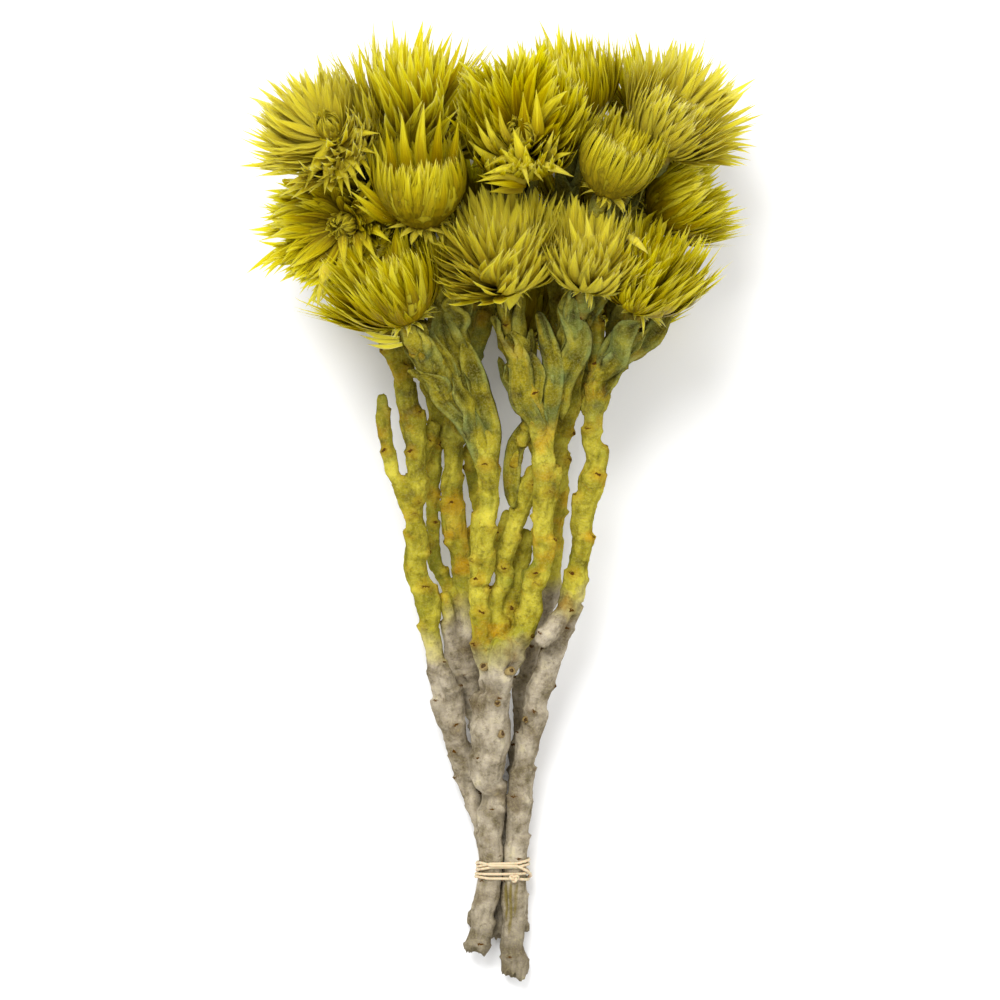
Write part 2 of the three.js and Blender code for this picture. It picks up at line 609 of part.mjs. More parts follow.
// The trunk, shoots, stubs and broad leaves of a stem. grow fattens them.
function woodOf(stem, grow) {
  const pieces = [trunk(stem.trunk, grow), ...stem.leaves.map((item) => broadLeaf(item, grow))];
  for (const item of stem.shoots) {
    const root = item.radius ?? Math.min(3.5, stem.trunk[item.from][3] * 0.82);
    pieces.push(shoot(courseOf(stem, item), item.stub ? [root, root] : [root, root * 0.95, 3.3], grow));
  }
  return wasm.Manifold.union(pieces);
}

// ---------- the rubber band ----------
// The trunk's centre and radius where it passes y.
function trunkAt(stem, y) {
  const after = stem.trunk.findIndex((row) => row[1] > y);
  const [low, high] = [stem.trunk[after - 1], stem.trunk[after]];
  return low.map((value, i) => mix(value, high[i], (y - low[1]) / (high[1] - low[1])));
}

// The tight outline round the tied stems at y, seen from an angle, as far out as offset.
function outlineAt(angle, y, offset) {
  const x = Math.cos(angle);
  const z = Math.sin(angle);
  const rows = STEMS.map((stem) => trunkAt(stem, y));
  const reach = (row) => row[0] * x + row[2] * z + row[3];
  const row = rows.reduce((best, next) => (reach(next) > reach(best) ? next : best));
  return new THREE.Vector3(row[0] + x * (row[3] + offset), y, row[2] + z * (row[3] + offset));
}

// One closed loop wound round the stems: it climbs turn by turn, then crosses over its own turns
// on the upper side, back to where it began.
function rubberBand() {
  const perTurn = 14;
  const steps = perTurn * BAND_TURNS;
  const crossing = 5; // the steps that the way back takes
  const start = Math.PI * 0.8;
  const centres = [];
  const outs = [];
  for (let i = 0; i < steps; i++) {
    const angle = start + (2 * Math.PI * i) / perTurn;
    const back = Math.max(0, i - (steps - crossing)) / crossing;
    const climb = (BAND_TURNS * Math.min(i, steps - crossing)) / steps - BAND_TURNS / 2;
    const lift = back > 0 && back < 1 ? 1.25 * BAND_THICK : 0;
    const y = BAND_Y + BAND_PITCH * mix(climb, -BAND_TURNS / 2, back);
    centres.push(outlineAt(angle, y, CLEARANCE + BAND_THICK / 2 + lift));
    outs.push(new THREE.Vector3(Math.cos(angle), 0, Math.sin(angle)));
  }
  const sections = centres.map((centre, i) => {
    const ahead = new THREE.Vector3().subVectors(centres[(i + 1) % steps], centres[(i + steps - 1) % steps]);
    const side = ahead.cross(outs[i]).normalize();
    return BAND_SECTION.map(([out, wide]) =>
      centre
        .clone()
        .addScaledVector(outs[i], (out * BAND_THICK) / 2)
        .addScaledVector(side, (wide * BAND_WIDTH) / 2),
    );
  });
  return solid(sides(sections, true));
}

// ---------- the bunch ----------
const bunch = new THREE.Group();
const wood = STEMS.map((stem) => woodOf(stem, CLEARANCE));
const keepOut = HEADS.map((head) => hub(head));
const fattened = [];
for (const [index, stem] of STEMS.entries()) {
  const others = wood.filter((_, k) => k !== index);
  const places = leafPlaces(stem, [...others, ...fattened, ...keepOut]);
  const plain = wasm.Manifold.union([woodOf(stem, 0), ...places.map((place) => leaf(place, 0))]);
  fattened.push(wasm.Manifold.union([wood[index], ...places.map((place) => leaf(place, CLEARANCE))]));
  const made = largest(plain.trimByPlane([0, 0, 1], SEAT));
  const foot = new THREE.Matrix4().setPosition(point(stem.trunk[0]));
  bunch.add(placed(stem.name, made, OLIVE_WOOL, foot));
}
for (const [index, head] of HEADS.entries()) {
  bunch.add(flowerHead(head, index, fattened));
}
const tie = new THREE.Matrix4().makeTranslation(0, BAND_Y, 0);
bunch.add(placed("rubber_band", rubberBand(), LATEX, tie));

// The origin lies on the surface under the middle of the bunch.
const middle = new THREE.Box3().setFromObject(bunch, true).getCenter(new THREE.Vector3());
bunch.position.set(-middle.x, -middle.y, -SEAT);
const whole = new THREE.Group();
whole.add(bunch);

export default whole;
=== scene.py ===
# %% [markdown]
# # A tied bunch of dried strawflowers
# The bunch lies on a pale floor: twenty-one papery flower heads on five woolly stems that fork,
# held near their cut ends by a rubber band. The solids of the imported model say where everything
# is. This lesson dresses them: each head gets hundreds of bent bracts, each stem gets felted
# leaves, leaf scars, buds and wool, and the band gets its round strands and its knot.

import math

import bpy
import numpy as np
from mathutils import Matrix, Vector, kdtree, noise


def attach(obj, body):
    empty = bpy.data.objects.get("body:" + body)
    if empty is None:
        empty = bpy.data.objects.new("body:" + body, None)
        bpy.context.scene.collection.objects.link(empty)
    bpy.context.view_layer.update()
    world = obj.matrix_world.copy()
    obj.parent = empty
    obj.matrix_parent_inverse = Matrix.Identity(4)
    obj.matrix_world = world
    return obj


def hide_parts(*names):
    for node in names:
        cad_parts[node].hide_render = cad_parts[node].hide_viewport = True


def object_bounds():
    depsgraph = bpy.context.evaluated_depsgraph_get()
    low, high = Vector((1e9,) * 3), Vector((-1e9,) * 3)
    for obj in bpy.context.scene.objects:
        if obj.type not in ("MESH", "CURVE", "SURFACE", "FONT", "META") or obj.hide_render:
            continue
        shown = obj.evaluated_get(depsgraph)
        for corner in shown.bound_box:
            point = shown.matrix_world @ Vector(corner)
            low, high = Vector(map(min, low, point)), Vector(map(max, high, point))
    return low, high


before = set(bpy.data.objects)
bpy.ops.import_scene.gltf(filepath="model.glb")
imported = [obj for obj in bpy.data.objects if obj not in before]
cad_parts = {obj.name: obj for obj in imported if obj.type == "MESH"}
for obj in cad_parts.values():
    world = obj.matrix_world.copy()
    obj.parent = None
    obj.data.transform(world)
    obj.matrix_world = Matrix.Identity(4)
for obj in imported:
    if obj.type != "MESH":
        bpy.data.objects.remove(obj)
cad_low, cad_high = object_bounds()
size = [round(1000 * side, 1) for side in cad_high - cad_low]
print("frame:", len(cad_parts), "solids,", size, "mm")

# %% [markdown]
# ## Where the heads are
# The measures are millimetres in the drawing's own frame, the same as the solids'. A head's row
# gives the place of its base, the way it faces, its size, how far it has opened (0 is a goblet, 1
# is wide open) and how many bracts it has, fewer at the back of the bunch. Then come how broad a
# bract is, how pale the head is, and whether it opened as a bowl (0) or as a straight fan (1).

# %% The measures of the heads
MM = 0.001
UV_MAP = "blade"
BAND_Y = -130.0  # where the band ties the stems
SHIFT = np.array([-0.957, 0.147, -0.8])  # from the drawing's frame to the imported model's
FULL = 430
PLAIN = 210
HEADS = {
    "a": ([-56.5, 123, 63], [-0.28, 0.6, 0.75], 0.9, 0.9, FULL, 1.1, 0.5, 0.0),
    "b": ([-31.5, 124, 55], [0.1, 0.97, 0.2], 1.22, 1.0, FULL, 1.0, 0.08, 0.8),
    "c": ([-27.5, 97, 78], [-0.05, 0.88, 0.46], 1.06, 0.08, FULL, 1.4, 0.05, 0.0),
    "d": ([-52, 100, 52], [-0.24, -0.16, 0.95], 0.93, 0.95, FULL, 1.35, 0.05, 0.0),
    "e": ([-33, 63.5, 76], [-0.33, 0.87, 0.36], 1.02, 0.68, FULL, 1.1, 0.0, 0.55),
    "f": ([6.3, 122.9, 66], [0, 0.35, 0.94], 1.08, 0.6, FULL, 1.25, 0.0, 0.0),
    "g": ([24, 130, 58], [-0.12, 0.95, 0.32], 1.04, 0.24, FULL, 1.0, 0.0, 0.4),
    "i": ([53.6, 126, 62], [0.46, 0.68, 0.57], 0.96, 0.7, FULL, 1.2, 0.5, 0.8),
    "j": ([53, 133, 33], [0.02, 0.98, 0.1], 0.98, 0.8, PLAIN, 1.0, 0.0, 0.6),
    "k": ([34.4, 108, 80], [0.35, 0.8, 0.48], 0.95, 0.1, FULL, 1.0, 0.12, 0.0),
    "l": ([51.5, 100.5, 50], [0.85, 0.45, 0.25], 0.95, 0.4, FULL, 1.0, 0.0, 0.6),
    "m": ([29.5, 75.5, 80], [0.06, 0.86, 0.5], 0.84, 0.9, FULL, 1.4, 0.45, 0.9),
    "o": ([0.8, 75.5, 75], [-0.03, 0.88, 0.46], 1.0, 1.05, FULL, 1.35, 0.42, 1.0),
    "p": ([46.4, 68, 70], [0.34, 0.85, 0.4], 0.98, 0.7, FULL, 1.1, 0.0, 0.8),
    "q": ([0, 120, 40], [-0.15, 0.95, 0.25], 0.95, 0.6, PLAIN, 1.0, 0.0, 0.0),
    "r": ([-36, 101, 17], [-0.4, 0.91, 0.1], 1.15, 0.7, PLAIN, 1.0, 0.0, 0.6),
    "s": ([-10, 96, 16], [-0.05, 0.98, 0.05], 1.1, 0.5, PLAIN, 1.0, 0.0, 0.0),
    "t": ([32, 98, 17], [0.1, 0.97, 0.15], 1.1, 0.8, PLAIN, 1.0, 0.0, 0.6),
    "u": ([-31, 66, 19.5], [-0.65, 0.7, -0.15], 0.95, 0.5, PLAIN, 1.0, 0.0, 0.0),
    "v": ([35, 66, 20], [0.6, 0.7, -0.15], 0.95, 0.5, PLAIN, 1.0, 0.0, 0.0),
    "w": ([8, 58, 22], [0.05, 0.85, -0.2], 0.9, 0.4, PLAIN, 1.0, 0.0, 0.0),
}
# Most heads open widest on the side away from the others. These open towards a side of their own.
OPEN_TO = {
    "a": [-0.7, -0.6, 0.2],
    "b": [0.6, 0.5, 0],
    "d": [-0.8, -0.55, 0],
    "o": [-0.5, 0.2, -0.4],
    "p": [0, 1, 0.2],
}
print("heads:", len(HEADS))

# %% [markdown]
# ## Where each stem goes
# A strawflower's wood is a trunk that forks into shoots, and each shoot ends in a head. The rows
# below are those that shaped the solids, so that wool and wood lie in the same place. A trunk's
# points are x y z radius, all others x y z. A shoot leaves the trunk at one of its points, counted
# from 0, and passes through a few more to a head. Its digits say to which side each leaf turned,
# with - where none grew, and its radius comes last if it isn't the usual one. A stub has a radius,
# starts at a trunk point or at a point of its own, and ends blunt. A broad leaf has a width and a
# course from root to tip. Rows that start with spaces go on from the row above.

# %% The rows of the stems
STEM_TABLE = """
stem stem_front_left
trunk: -8.6 -158.6 9 4.5, -6.2 -143 11.2 4.3, -4.4 -130 12.3 4.2, -4.2 -118 14 4.4,
   -3.9 -103 18.2 4.9, -4 -84 24.5 6.4, -4 -67 31 7.6
shoot 6 e 0000: -8 -46 38, -8.4 -22 46, -5.2 4 53, -5.4 14 56, -12.5 30 60, -23.5 46.5 68
shoot 6 o 0011: 6.5 -45 40, 11.2 -24 45, 15.2 0 52, 14.8 14 56, 11.6 32 61, 6.5 47 66, 3 60 69
shoot 6 m 0000: 7 -44 40, 12 -20 46, 15.6 2 51, 17 32 59, 20.5 49 62, 23.5 67 67
shoot 6 c 0000: -7.4 -44 38, -7.6 -12 48, -4.4 14 54, -9 34 56, -14.5 58 60, -21 82 68
stub 4.2 5: -1.5 -58 38, 0.5 -47 43.5
stub 3.1 6: -3 -44 36, -0.6 -25 40, 3.5 -10 43, 8 2 46, 12 13 50
stub 2.5: -1.2 -28 39.5, -2.2 -15 38.5, 1.2 -1.5 39
stub 2.9: 0 -52 34, 5 -28 34, 7 -16 35, 9.3 -9 36
stub 1.6: 11.5 33 60, 6 22 51, 3.9 12 48, 4 2 47
leaf 8.5: -6 12 56, -12.5 29 63, -20 40 68, -28 49 72
leaf 9: -4 16 55, -6 30 59.5, -10 43 62.5, -13.5 58 64
leaf 8: -9 32 56, -16 48 60.5, -19.5 61 62.5, -20.5 73 64
leaf 9: 11 28 62.5, 5.5 44 69, 2 60 72.5
leaf 4.5: 12.5 30 62, 12 42 67.5, 9.8 54 70
leaf 4.5: 9 26 55, 4 41 54, -1.8 52 54
leaf 7: 11 36 59, 5 22 52.5, 3.2 10 50, 4.2 -1.5 49.5
leaf 7: 17 28 60, 17.3 45 66.5, 14.5 58 69, 11.8 68 69.5
leaf 9.5: 20 34 59, 23 47 66, 25.5 58 71, 19.5 70 73
stem stem_front_right
trunk: 2.6 -167.6 7.4 4.5, 3.6 -148 10.2 4.3, 4.3 -130 12.2 4.1, 4.9 -113 14.9 4.1,
   7.4 -89 20 4, 12 -68 27 3.9, 18.6 -47 33 3.9, 24.4 -30 38 3.8, 28.6 -9 44 3.9,
   31.6 14 50 3.7, 32.2 34 55 3.7
shoot 10 p 00--: 35.5 48 60
shoot 10 k 0222: 32 60 60, 30 86 66
shoot 10 l 0000: 40 60 51, 44 84 47.5
shoot 10 j 00: 41 60 48, 47 86 42, 53 110 35
stub 3 7: 19.5 -40.5 41.5, 12.5 -49.6 43.5
stub 3.1 10: 40 50 49.5, 50 58 47.5, 58.6 72.5 46
leaf 7: 34 41 56, 43 53 54.5, 53 61 51.5, 59.5 75 48
leaf 6.5: 33 42 58, 36.5 54 64, 41 62.5 68
stem stem_left
trunk: -10.5 -150 3.2 2.9, -5.9 -137 4.8 2.6, -5.6 -130 5.1 2.6, -7.4 -117 6.2 2.9,
   -12.2 -100 9.2 3.4, -18.4 -80 14 3.7, -24.2 -55 20 3.8, -28.6 -30 26 3.8, -31.6 -8 31 3.9,
   -31.2 16 37 3.4, -34.8 43 42 3.8
shoot 10 d 0000: -43 68 42, -50.5 88 43
shoot 10 a 0111: -42 74 41, -48.5 103 43, -53.6 121 50
shoot 10 b 0000: -36.5 74 43, -33 102 43.5
stub 2.4 8: -35.6 4 34, -39.2 18 36, -42.4 39.2 38
stub 2.6 8: -30 10 33, -27 20 33, -25 30 34
stub 2.8 4: -15 -80 18, -19.2 -58 24.5
stem stem_middle
trunk: -2.2 -154 3 2.9, -0.6 -142 4.2 2.7, 0 -130 5.4 2.6, -1 -118 6.4 2.9, -3.6 -102 8 3.6,
   -7.4 -80 10.5 3.9, -12 -52 15.5 3.9, -15.4 -22 21 3.8, -17.8 8 27.5 3.8, -18.4 24 31.5 3.9
shoot 9 q 00: -12 54 37, -4.5 84 37, -0.8 105 37.5
shoot 9 r 00: -23.5 58 33, -24.5 80 28.5, -30 92 23
shoot 6 u 00 2.5: -18.8 -33 16, -24.4 -18 18.5, -25.4 -4 21.5, -24.6 12 25, -23.8 34 28
shoot 9 f 0000: -8 55 46, 0 85 50, 5 108 52
shoot 6 s 00 2.6: -9.2 -30 16, -8.8 -8 18.5, -10.8 16 23, -13 48 28, -12 76 22.5
stub 2.6 5: -14.6 -62 16, -17.6 -50 19, -21.2 -31 22.5
stem stem_right
trunk: 7.4 -152 3.2 2.9, 6 -139 4.7 2.6, 5.6 -130 5.1 2.6, 6.2 -117 5.9 2.9, 6.6 -101 8 3.5,
   7 -80 11.5 3.7, 10.2 -55 16.5 3.8, 16 -28 23 3.9, 18.2 -2 29 3.9, 20 20 33.5 3.8
shoot 9 i 0000: 27.5 54 44, 33 88 50, 43 113 56
shoot 9 g 0-00: 20 54 43, 19 86 47, 22 114 52
shoot 9 t 2-: 26 52 34, 28.5 78 27
shoot 9 v 0-: 28 44 31
shoot 8 w 00: 13.5 22 30, 9 40 29
"""


def rows_of(text):
    """Rows of numbers from text that has a comma between them."""
    return np.array([row.split() for row in text.split(",")], float)


STEMS = {}
for line in STEM_TABLE.replace("\n   ", " ").strip().splitlines():
    words, _, points = line.partition(":")
    kind, *words = words.split()
    if kind == "stem":
        stem = STEMS[words[0]] = {"shoot": [], "stub": [], "leaf": []}
    elif kind == "trunk":
        stem["trunk"] = rows_of(points)
    elif kind == "shoot":
        row, key, leaves, *radius = words
        stem["shoot"].append((int(row), key, leaves, rows_of(points), *map(float, radius)))
    else:
        broadness, *row = words
        start = [stem["trunk"][int(i), :3] for i in row]
        stem[kind].append((np.vstack([*start, rows_of(points)]), float(broadness)))
print("stems:", len(STEMS), "with", sum(len(stem["shoot"]) for stem in STEMS.values()), "shoots")

# %% [markdown]
# ## Directions
# Heads face every way and stems bend, so most places are worked out along axes of their own: a
# way forward, and the upper and the sideways axis across it. Sums on whole arrays of places keep
# this quick.


# %% Vectors and directions
def unit(v):
    """Each vector of an array, one long."""
    v = np.asarray(v, float)
    return v / np.linalg.norm(v, axis=-1, keepdims=True)


def mix(a, b, t):
    """From a to b as t goes from 0 to 1."""
    return a + (b - a) * t


def across(forward):
    """The upper and the sideways axis across a way forward."""
    level = unit(np.cross(forward, [0, 0, 1]))
    out = np.cross(level, forward)
    return out, np.cross(forward, out)


def ease(t):
    """0 to 1 with a soft start and end."""
    t = np.clip(t, 0, 1)
    return t * t * (3 - 2 * t)


# %% [markdown]
# ## One shape, many copies
# A head has hundreds of bracts of much the same shape. Each could be an object with a modifier that
# bends it, but thousands of those are slow. So a shape is modelled once, its corners and
# faces are kept as a template, and one mesh is built from all its bent copies in one go.


# %% Templates and the meshes built from them
def template_of(obj):
    """The corners and faces of a modelled shape, which is then taken out of the scene."""
    mesh = obj.data
    corners = np.empty(3 * len(mesh.vertices))
    mesh.vertices.foreach_get("co", corners)
    loops = np.empty(len(mesh.loops), int)
    mesh.loops.foreach_get("vertex_index", loops)
    sizes = np.empty(len(mesh.polygons), int)
    mesh.polygons.foreach_get("loop_total", sizes)
    bpy.data.objects.remove(obj)
    return {"corners": corners.reshape(-1, 3), "loops": loops, "sizes": sizes}


def built(name, parts):
    """One mesh object from parts: (template, places of all its copies in mm, values, uv).

    Places is an array copies x corners x 3. Values holds named numbers for each copy and corner."""
    corners, loops, sizes, uvs, offset = [], [], [], [], 0
    values = {key: [] for key in parts[0][2]}
    for template, places, given, uv in parts:
        count, each = places.shape[:2]
        step = offset + each * np.arange(count)
        corners.append(places.reshape(-1, 3))
        loops.append((step[:, None] + template["loops"][None]).ravel())
        sizes.append(np.tile(template["sizes"], count))
        uvs.append(np.tile(uv[template["loops"]], (count, 1)))
        for key in values:
            values[key].append(np.broadcast_to(given[key], (count, each)).ravel())
        offset += each * count
    mesh = bpy.data.meshes.new(name)
    corners, loops, sizes = np.concatenate(corners), np.concatenate(loops), np.concatenate(sizes)
    mesh.vertices.add(len(corners))
    mesh.vertices.foreach_set("co", ((corners + SHIFT) * MM).ravel())
    mesh.loops.add(len(loops))
    mesh.loops.foreach_set("vertex_index", loops)
    mesh.polygons.add(len(sizes))
    mesh.polygons.foreach_set("loop_start", np.cumsum(sizes) - sizes)
    mesh.update(calc_edges=True)
    mesh.uv_layers.new(name=UV_MAP).data.foreach_set("uv", np.concatenate(uvs).ravel())
    for key, arrays in values.items():
        number_corners(mesh, key, np.concatenate(arrays))
    return placed(name, mesh)


def number_corners(mesh, key, values):
    """Keeps a number for every corner, which a finish can read by its name."""
    mesh.attributes.new(key, "FLOAT", "POINT").data.foreach_set("value", values)


def placed(name, data):
    """A new object in the scene."""
    obj = bpy.data.objects.new(name, data)
    bpy.context.collection.objects.link(obj)
    return obj

# %% [markdown]
# ## Shapes stacked up from rings
# A bract, a leaf, the knob of a head and a bud all start as a flat disc, which is extruded up from
# station to station and scaled at each. Bracts and leaves are blades: narrow at the root, widest in
# the middle and pointed at the end, where the last ring is merged to a point. They are closed all
# round, so that they have a thickness and both their sides face outwards.


# %% Stack rings, and make a blade of them
def stack(corners, stations, flatness=1.0, turn=0.0):
    """Rings stacked along Z from (height, radius) stations. The top face stays selected."""
    bpy.ops.object.select_all(action="DESELECT")
    height, radius = stations[0]
    bpy.ops.mesh.primitive_circle_add(vertices=corners, radius=1, fill_type="NGON")
    obj = bpy.context.object
    bpy.ops.object.mode_set(mode="EDIT")
    bpy.ops.mesh.select_all(action="SELECT")
    bpy.ops.transform.rotate(value=turn, center_override=(0, 0, 0))
    bpy.ops.transform.resize(value=(radius, radius * flatness, 1), center_override=(0, 0, 0))
    bpy.ops.transform.translate(value=(0, 0, height))
    for above, wider in stations[1:]:
        bpy.ops.mesh.extrude_region_move(TRANSFORM_OT_translate={"value": (0, 0, above - height)})
        scale = wider / radius
        bpy.ops.transform.resize(value=(scale, scale, 1), center_override=(0, 0, above))
        height, radius = above, wider
    return obj


def closed(obj):
    """Leaves edit mode with all faces outwards, and keeps the shape as a template."""
    bpy.ops.mesh.select_all(action="SELECT")
    bpy.ops.mesh.normals_make_consistent(inside=False)
    bpy.ops.object.mode_set(mode="OBJECT")
    return template_of(obj)


def blade(stations, corners, flatness):
    """A closed blade along Z, one long and one wide, from stations of (height, width)."""
    rings = [(height, width / 2) for height, width in stations]
    obj = stack(corners, rings, flatness, turn=math.pi / corners * (corners % 4 == 2))
    rise = 1 - stations[-1][0]
    bpy.ops.mesh.extrude_region_move(TRANSFORM_OT_translate={"value": (0, 0, rise)})
    bpy.ops.mesh.merge(type="CENTER")
    return closed(obj)


GRID = 32  # steps along a blade at which its bend is worked out
BRACT_WIDTHS = {0: 0.7, 6: 0.92, 11: 1.0, 16: 0.92, 21: 0.7, 25: 0.44, 29: 0.18}  # by step
BRACT = blade([(i / GRID, width) for i, width in BRACT_WIDTHS.items()], corners=4, flatness=0.08)
print("bract:", len(BRACT["corners"]), "corners,", len(BRACT["sizes"]), "faces")
print("its width and thickness:", np.ptp(BRACT["corners"], axis=0).round(3))

# %% [markdown]
# ## Room for each head
# Twenty-one heads crowd together, and where two meet each keeps to its own side of a wall between
# them, as crowded petals do. A corner that comes near a wall is drawn in towards the middle of
# its head, the more so the nearer it comes, so bracts bend and bunch up and never stop dead. The
# floor is one more such wall.

# %% Heads and their walls
HEAD_REACH = 16.0  # how far along its axis a head's middle lies
HEAD_RADIUS = 21.0
FLOOR = 0.9  # the floor's height in the drawing's frame
CROWD = np.array([0, 85, 0])  # heads open widest on the side away from here, and downwards
DOWNWARD = np.array([0, 0, -55])
heads = {}
for key, (base, faces, size, opened, count, broad, pale, fan) in HEADS.items():
    axis = unit(faces)
    middle = np.array(base) + axis * HEAD_REACH * size
    heads[key] = {
        "base": np.array(base, float),
        "axis": axis,
        "basis": np.array([*across(axis), axis]),
        "size": size,
        "open": opened,
        "count": count,
        "away": unit(OPEN_TO.get(key, (middle - CROWD) * [1, 1, 0] + DOWNWARD)),
        "broad": broad,
        "pale": pale,
        "fan": fan,
        "middle": middle,
        "radius": HEAD_RADIUS * size,
    }


def walls_around(key):
    """The normals and offsets of the walls round a head, the floor first."""
    head = heads[key]
    normals, offsets = [[0, 0, -1]], [-FLOOR]
    for name, other in heads.items():
        gap = other["middle"] - head["middle"]
        distance = np.linalg.norm(gap)
        if name == key or distance > 2 * (head["radius"] + other["radius"]):
            continue
        share = 0.5 + (head["radius"] ** 2 - other["radius"] ** 2) / (2 * distance**2)
        normal = gap / distance
        normals.append(normal)
        offsets.append(normal @ head["middle"] + share * distance)
    return np.array(normals), np.array(offsets)


def drawn_in(points, head, spare):
    """Draws points in towards the head's middle where they come near a wall, less spare mm."""
    free, most = 0.9, 1.25  # shares of the way to the wall: left as it is, and reached at most
    normals, offsets = head["walls"]
    way = points - head["middle"]
    far = np.linalg.norm(way, axis=-1) + 1e-9
    toward = np.einsum("...k,wk->...w", way / far[..., None], normals)
    spares = np.broadcast_to(np.asarray(spare)[..., None], toward.shape)
    floor = normals[:, 2] == -1
    room = offsets - normals @ head["middle"]
    room = room / np.where(floor, most, 1) - np.where(floor, 0, spares)
    limit = np.where(toward > 1e-3, room / np.maximum(toward, 1e-3), 1e6).min(-1)
    eased = free + (most - free) * np.tanh((far / limit - free) / (most - free))
    pull = np.where(far < free * limit, 1.0, eased * limit / far)
    return head["middle"] + way * pull[..., None]


for key in heads:
    heads[key]["walls"] = walls_around(key)
print("walls round head c:", len(heads["c"]["walls"][1]))

# %% [markdown]
# ## Bending a bract
# On the flower a bract leans out from the head's axis at its root, then curls up or further out.
# So its middle line is walked in small steps whose lean goes from one angle to the other. Across
# that line the blade is cupped like the hollow of a hand, twisted a little and swung to one side.


# %% Bent copies of the bract
CURL = 25.0  # mm of bract over which it curls from its low to its high lean


def on_head(place, head):
    """Places round a head's own axis, moved to where the head is."""
    return head["base"] + (place * head["size"]) @ head["basis"]


def bent(template, spec, head, spare=0.0):
    """Copies of a blade, bent and set on a head. spec holds one number of each kind per copy:
    angle, radius, height, low, high, length, width, cup, twist, sway."""
    x, y, z = template["corners"].T
    of = {key: value[:, None] for key, value in spec.items()}
    gone = np.linspace(0, 1, GRID + 1)[None] * of["length"] / CURL
    lean = mix(of["low"], of["high"], ease(gone))
    step = of["length"] / GRID
    zero = np.zeros((len(lean), 1))
    middle = (lean[:, 1:] + lean[:, :-1]) / 2
    radius = of["radius"] + np.hstack([zero, np.cumsum(np.sin(middle) * step, 1)])
    height = of["height"] + np.hstack([zero, np.cumsum(np.cos(middle) * step, 1)])
    at = np.rint(z * GRID).astype(int)
    radius, height, lean = radius[:, at], height[:, at], lean[:, at]
    angle = of["angle"] + of["sway"] * z**2
    flat = np.zeros_like(angle)
    outward = np.stack([np.cos(angle), np.sin(angle), flat], -1)
    tangent = np.stack([np.sin(angle), -np.cos(angle), flat], -1)
    up = np.array([0.0, 0.0, 1.0])
    back = outward * np.cos(lean)[..., None] - up * np.sin(lean)[..., None]
    turn = (of["twist"] * z)[..., None]
    side = tangent * np.cos(turn) + back * np.sin(turn)
    back = back * np.cos(turn) - tangent * np.sin(turn)
    wide = of["width"]
    cupped = of["cup"] * wide * (0.1 - x**2)
    place = outward * radius[..., None] + up * height[..., None]
    place = place + side * (x * wide)[..., None] + back * (y * wide + cupped)[..., None]
    world = on_head(place, head)
    return drawn_in(world, head, np.broadcast_to(spare, world.shape[:1])[:, None] + flat)


# %% [markdown]
# ## A flower head
# A head is a knob with bracts all over its sides, each turned from the one before by the golden
# angle, so that none stands right over another. The first few are short scales, the next are the
# longest, and the last stand close round the disc. In a bowl the outer bracts all lean out alike
# and the inner ones stand up, in a fan they lean at every angle, and in a goblet all stand close.
# Tufts of them lean together, as dry bracts do. On top sit a ring of small bracts that curl inwards
# and a disc of tiny florets, and below the head hang a few dry ones that have turned back.

# %% Rows of bracts
GOLDEN = math.radians(137.508)
CORE_HEIGHT = 13.0
DOME = 0.9
LOPSIDED = 0.45  # how much wider a head opens on one side
DEPTHS = [0, 0.02, 0.04, 0.4, 0.6, 0.8, 1]  # from the outermost bract to the innermost
OPEN_LENGTHS = [15, 24, 31, 31, 29, 27, 22]  # mm, at those depths
SHUT_LENGTHS = [15, 22, 27.5, 28, 22.5, 15, 9]


def core_radius(t):
    """The knob's radius from its foot (0) to its top (1)."""
    return mix(3.6, 4.4, t) + 3.6 * np.sin(np.pi * t)


def lumps(corners, scale, seed):
    """Smooth noise from -1 to 1 with lumps of scale mm."""
    shift = Vector((seed, 2 * seed, 3 * seed))
    return np.array([noise.noise(Vector(c) / scale + shift) for c in corners])


def jitters(draw, n):
    """A draw of n numbers round zero, to be called with their spread."""
    return lambda spread: draw.normal(0, spread, n)


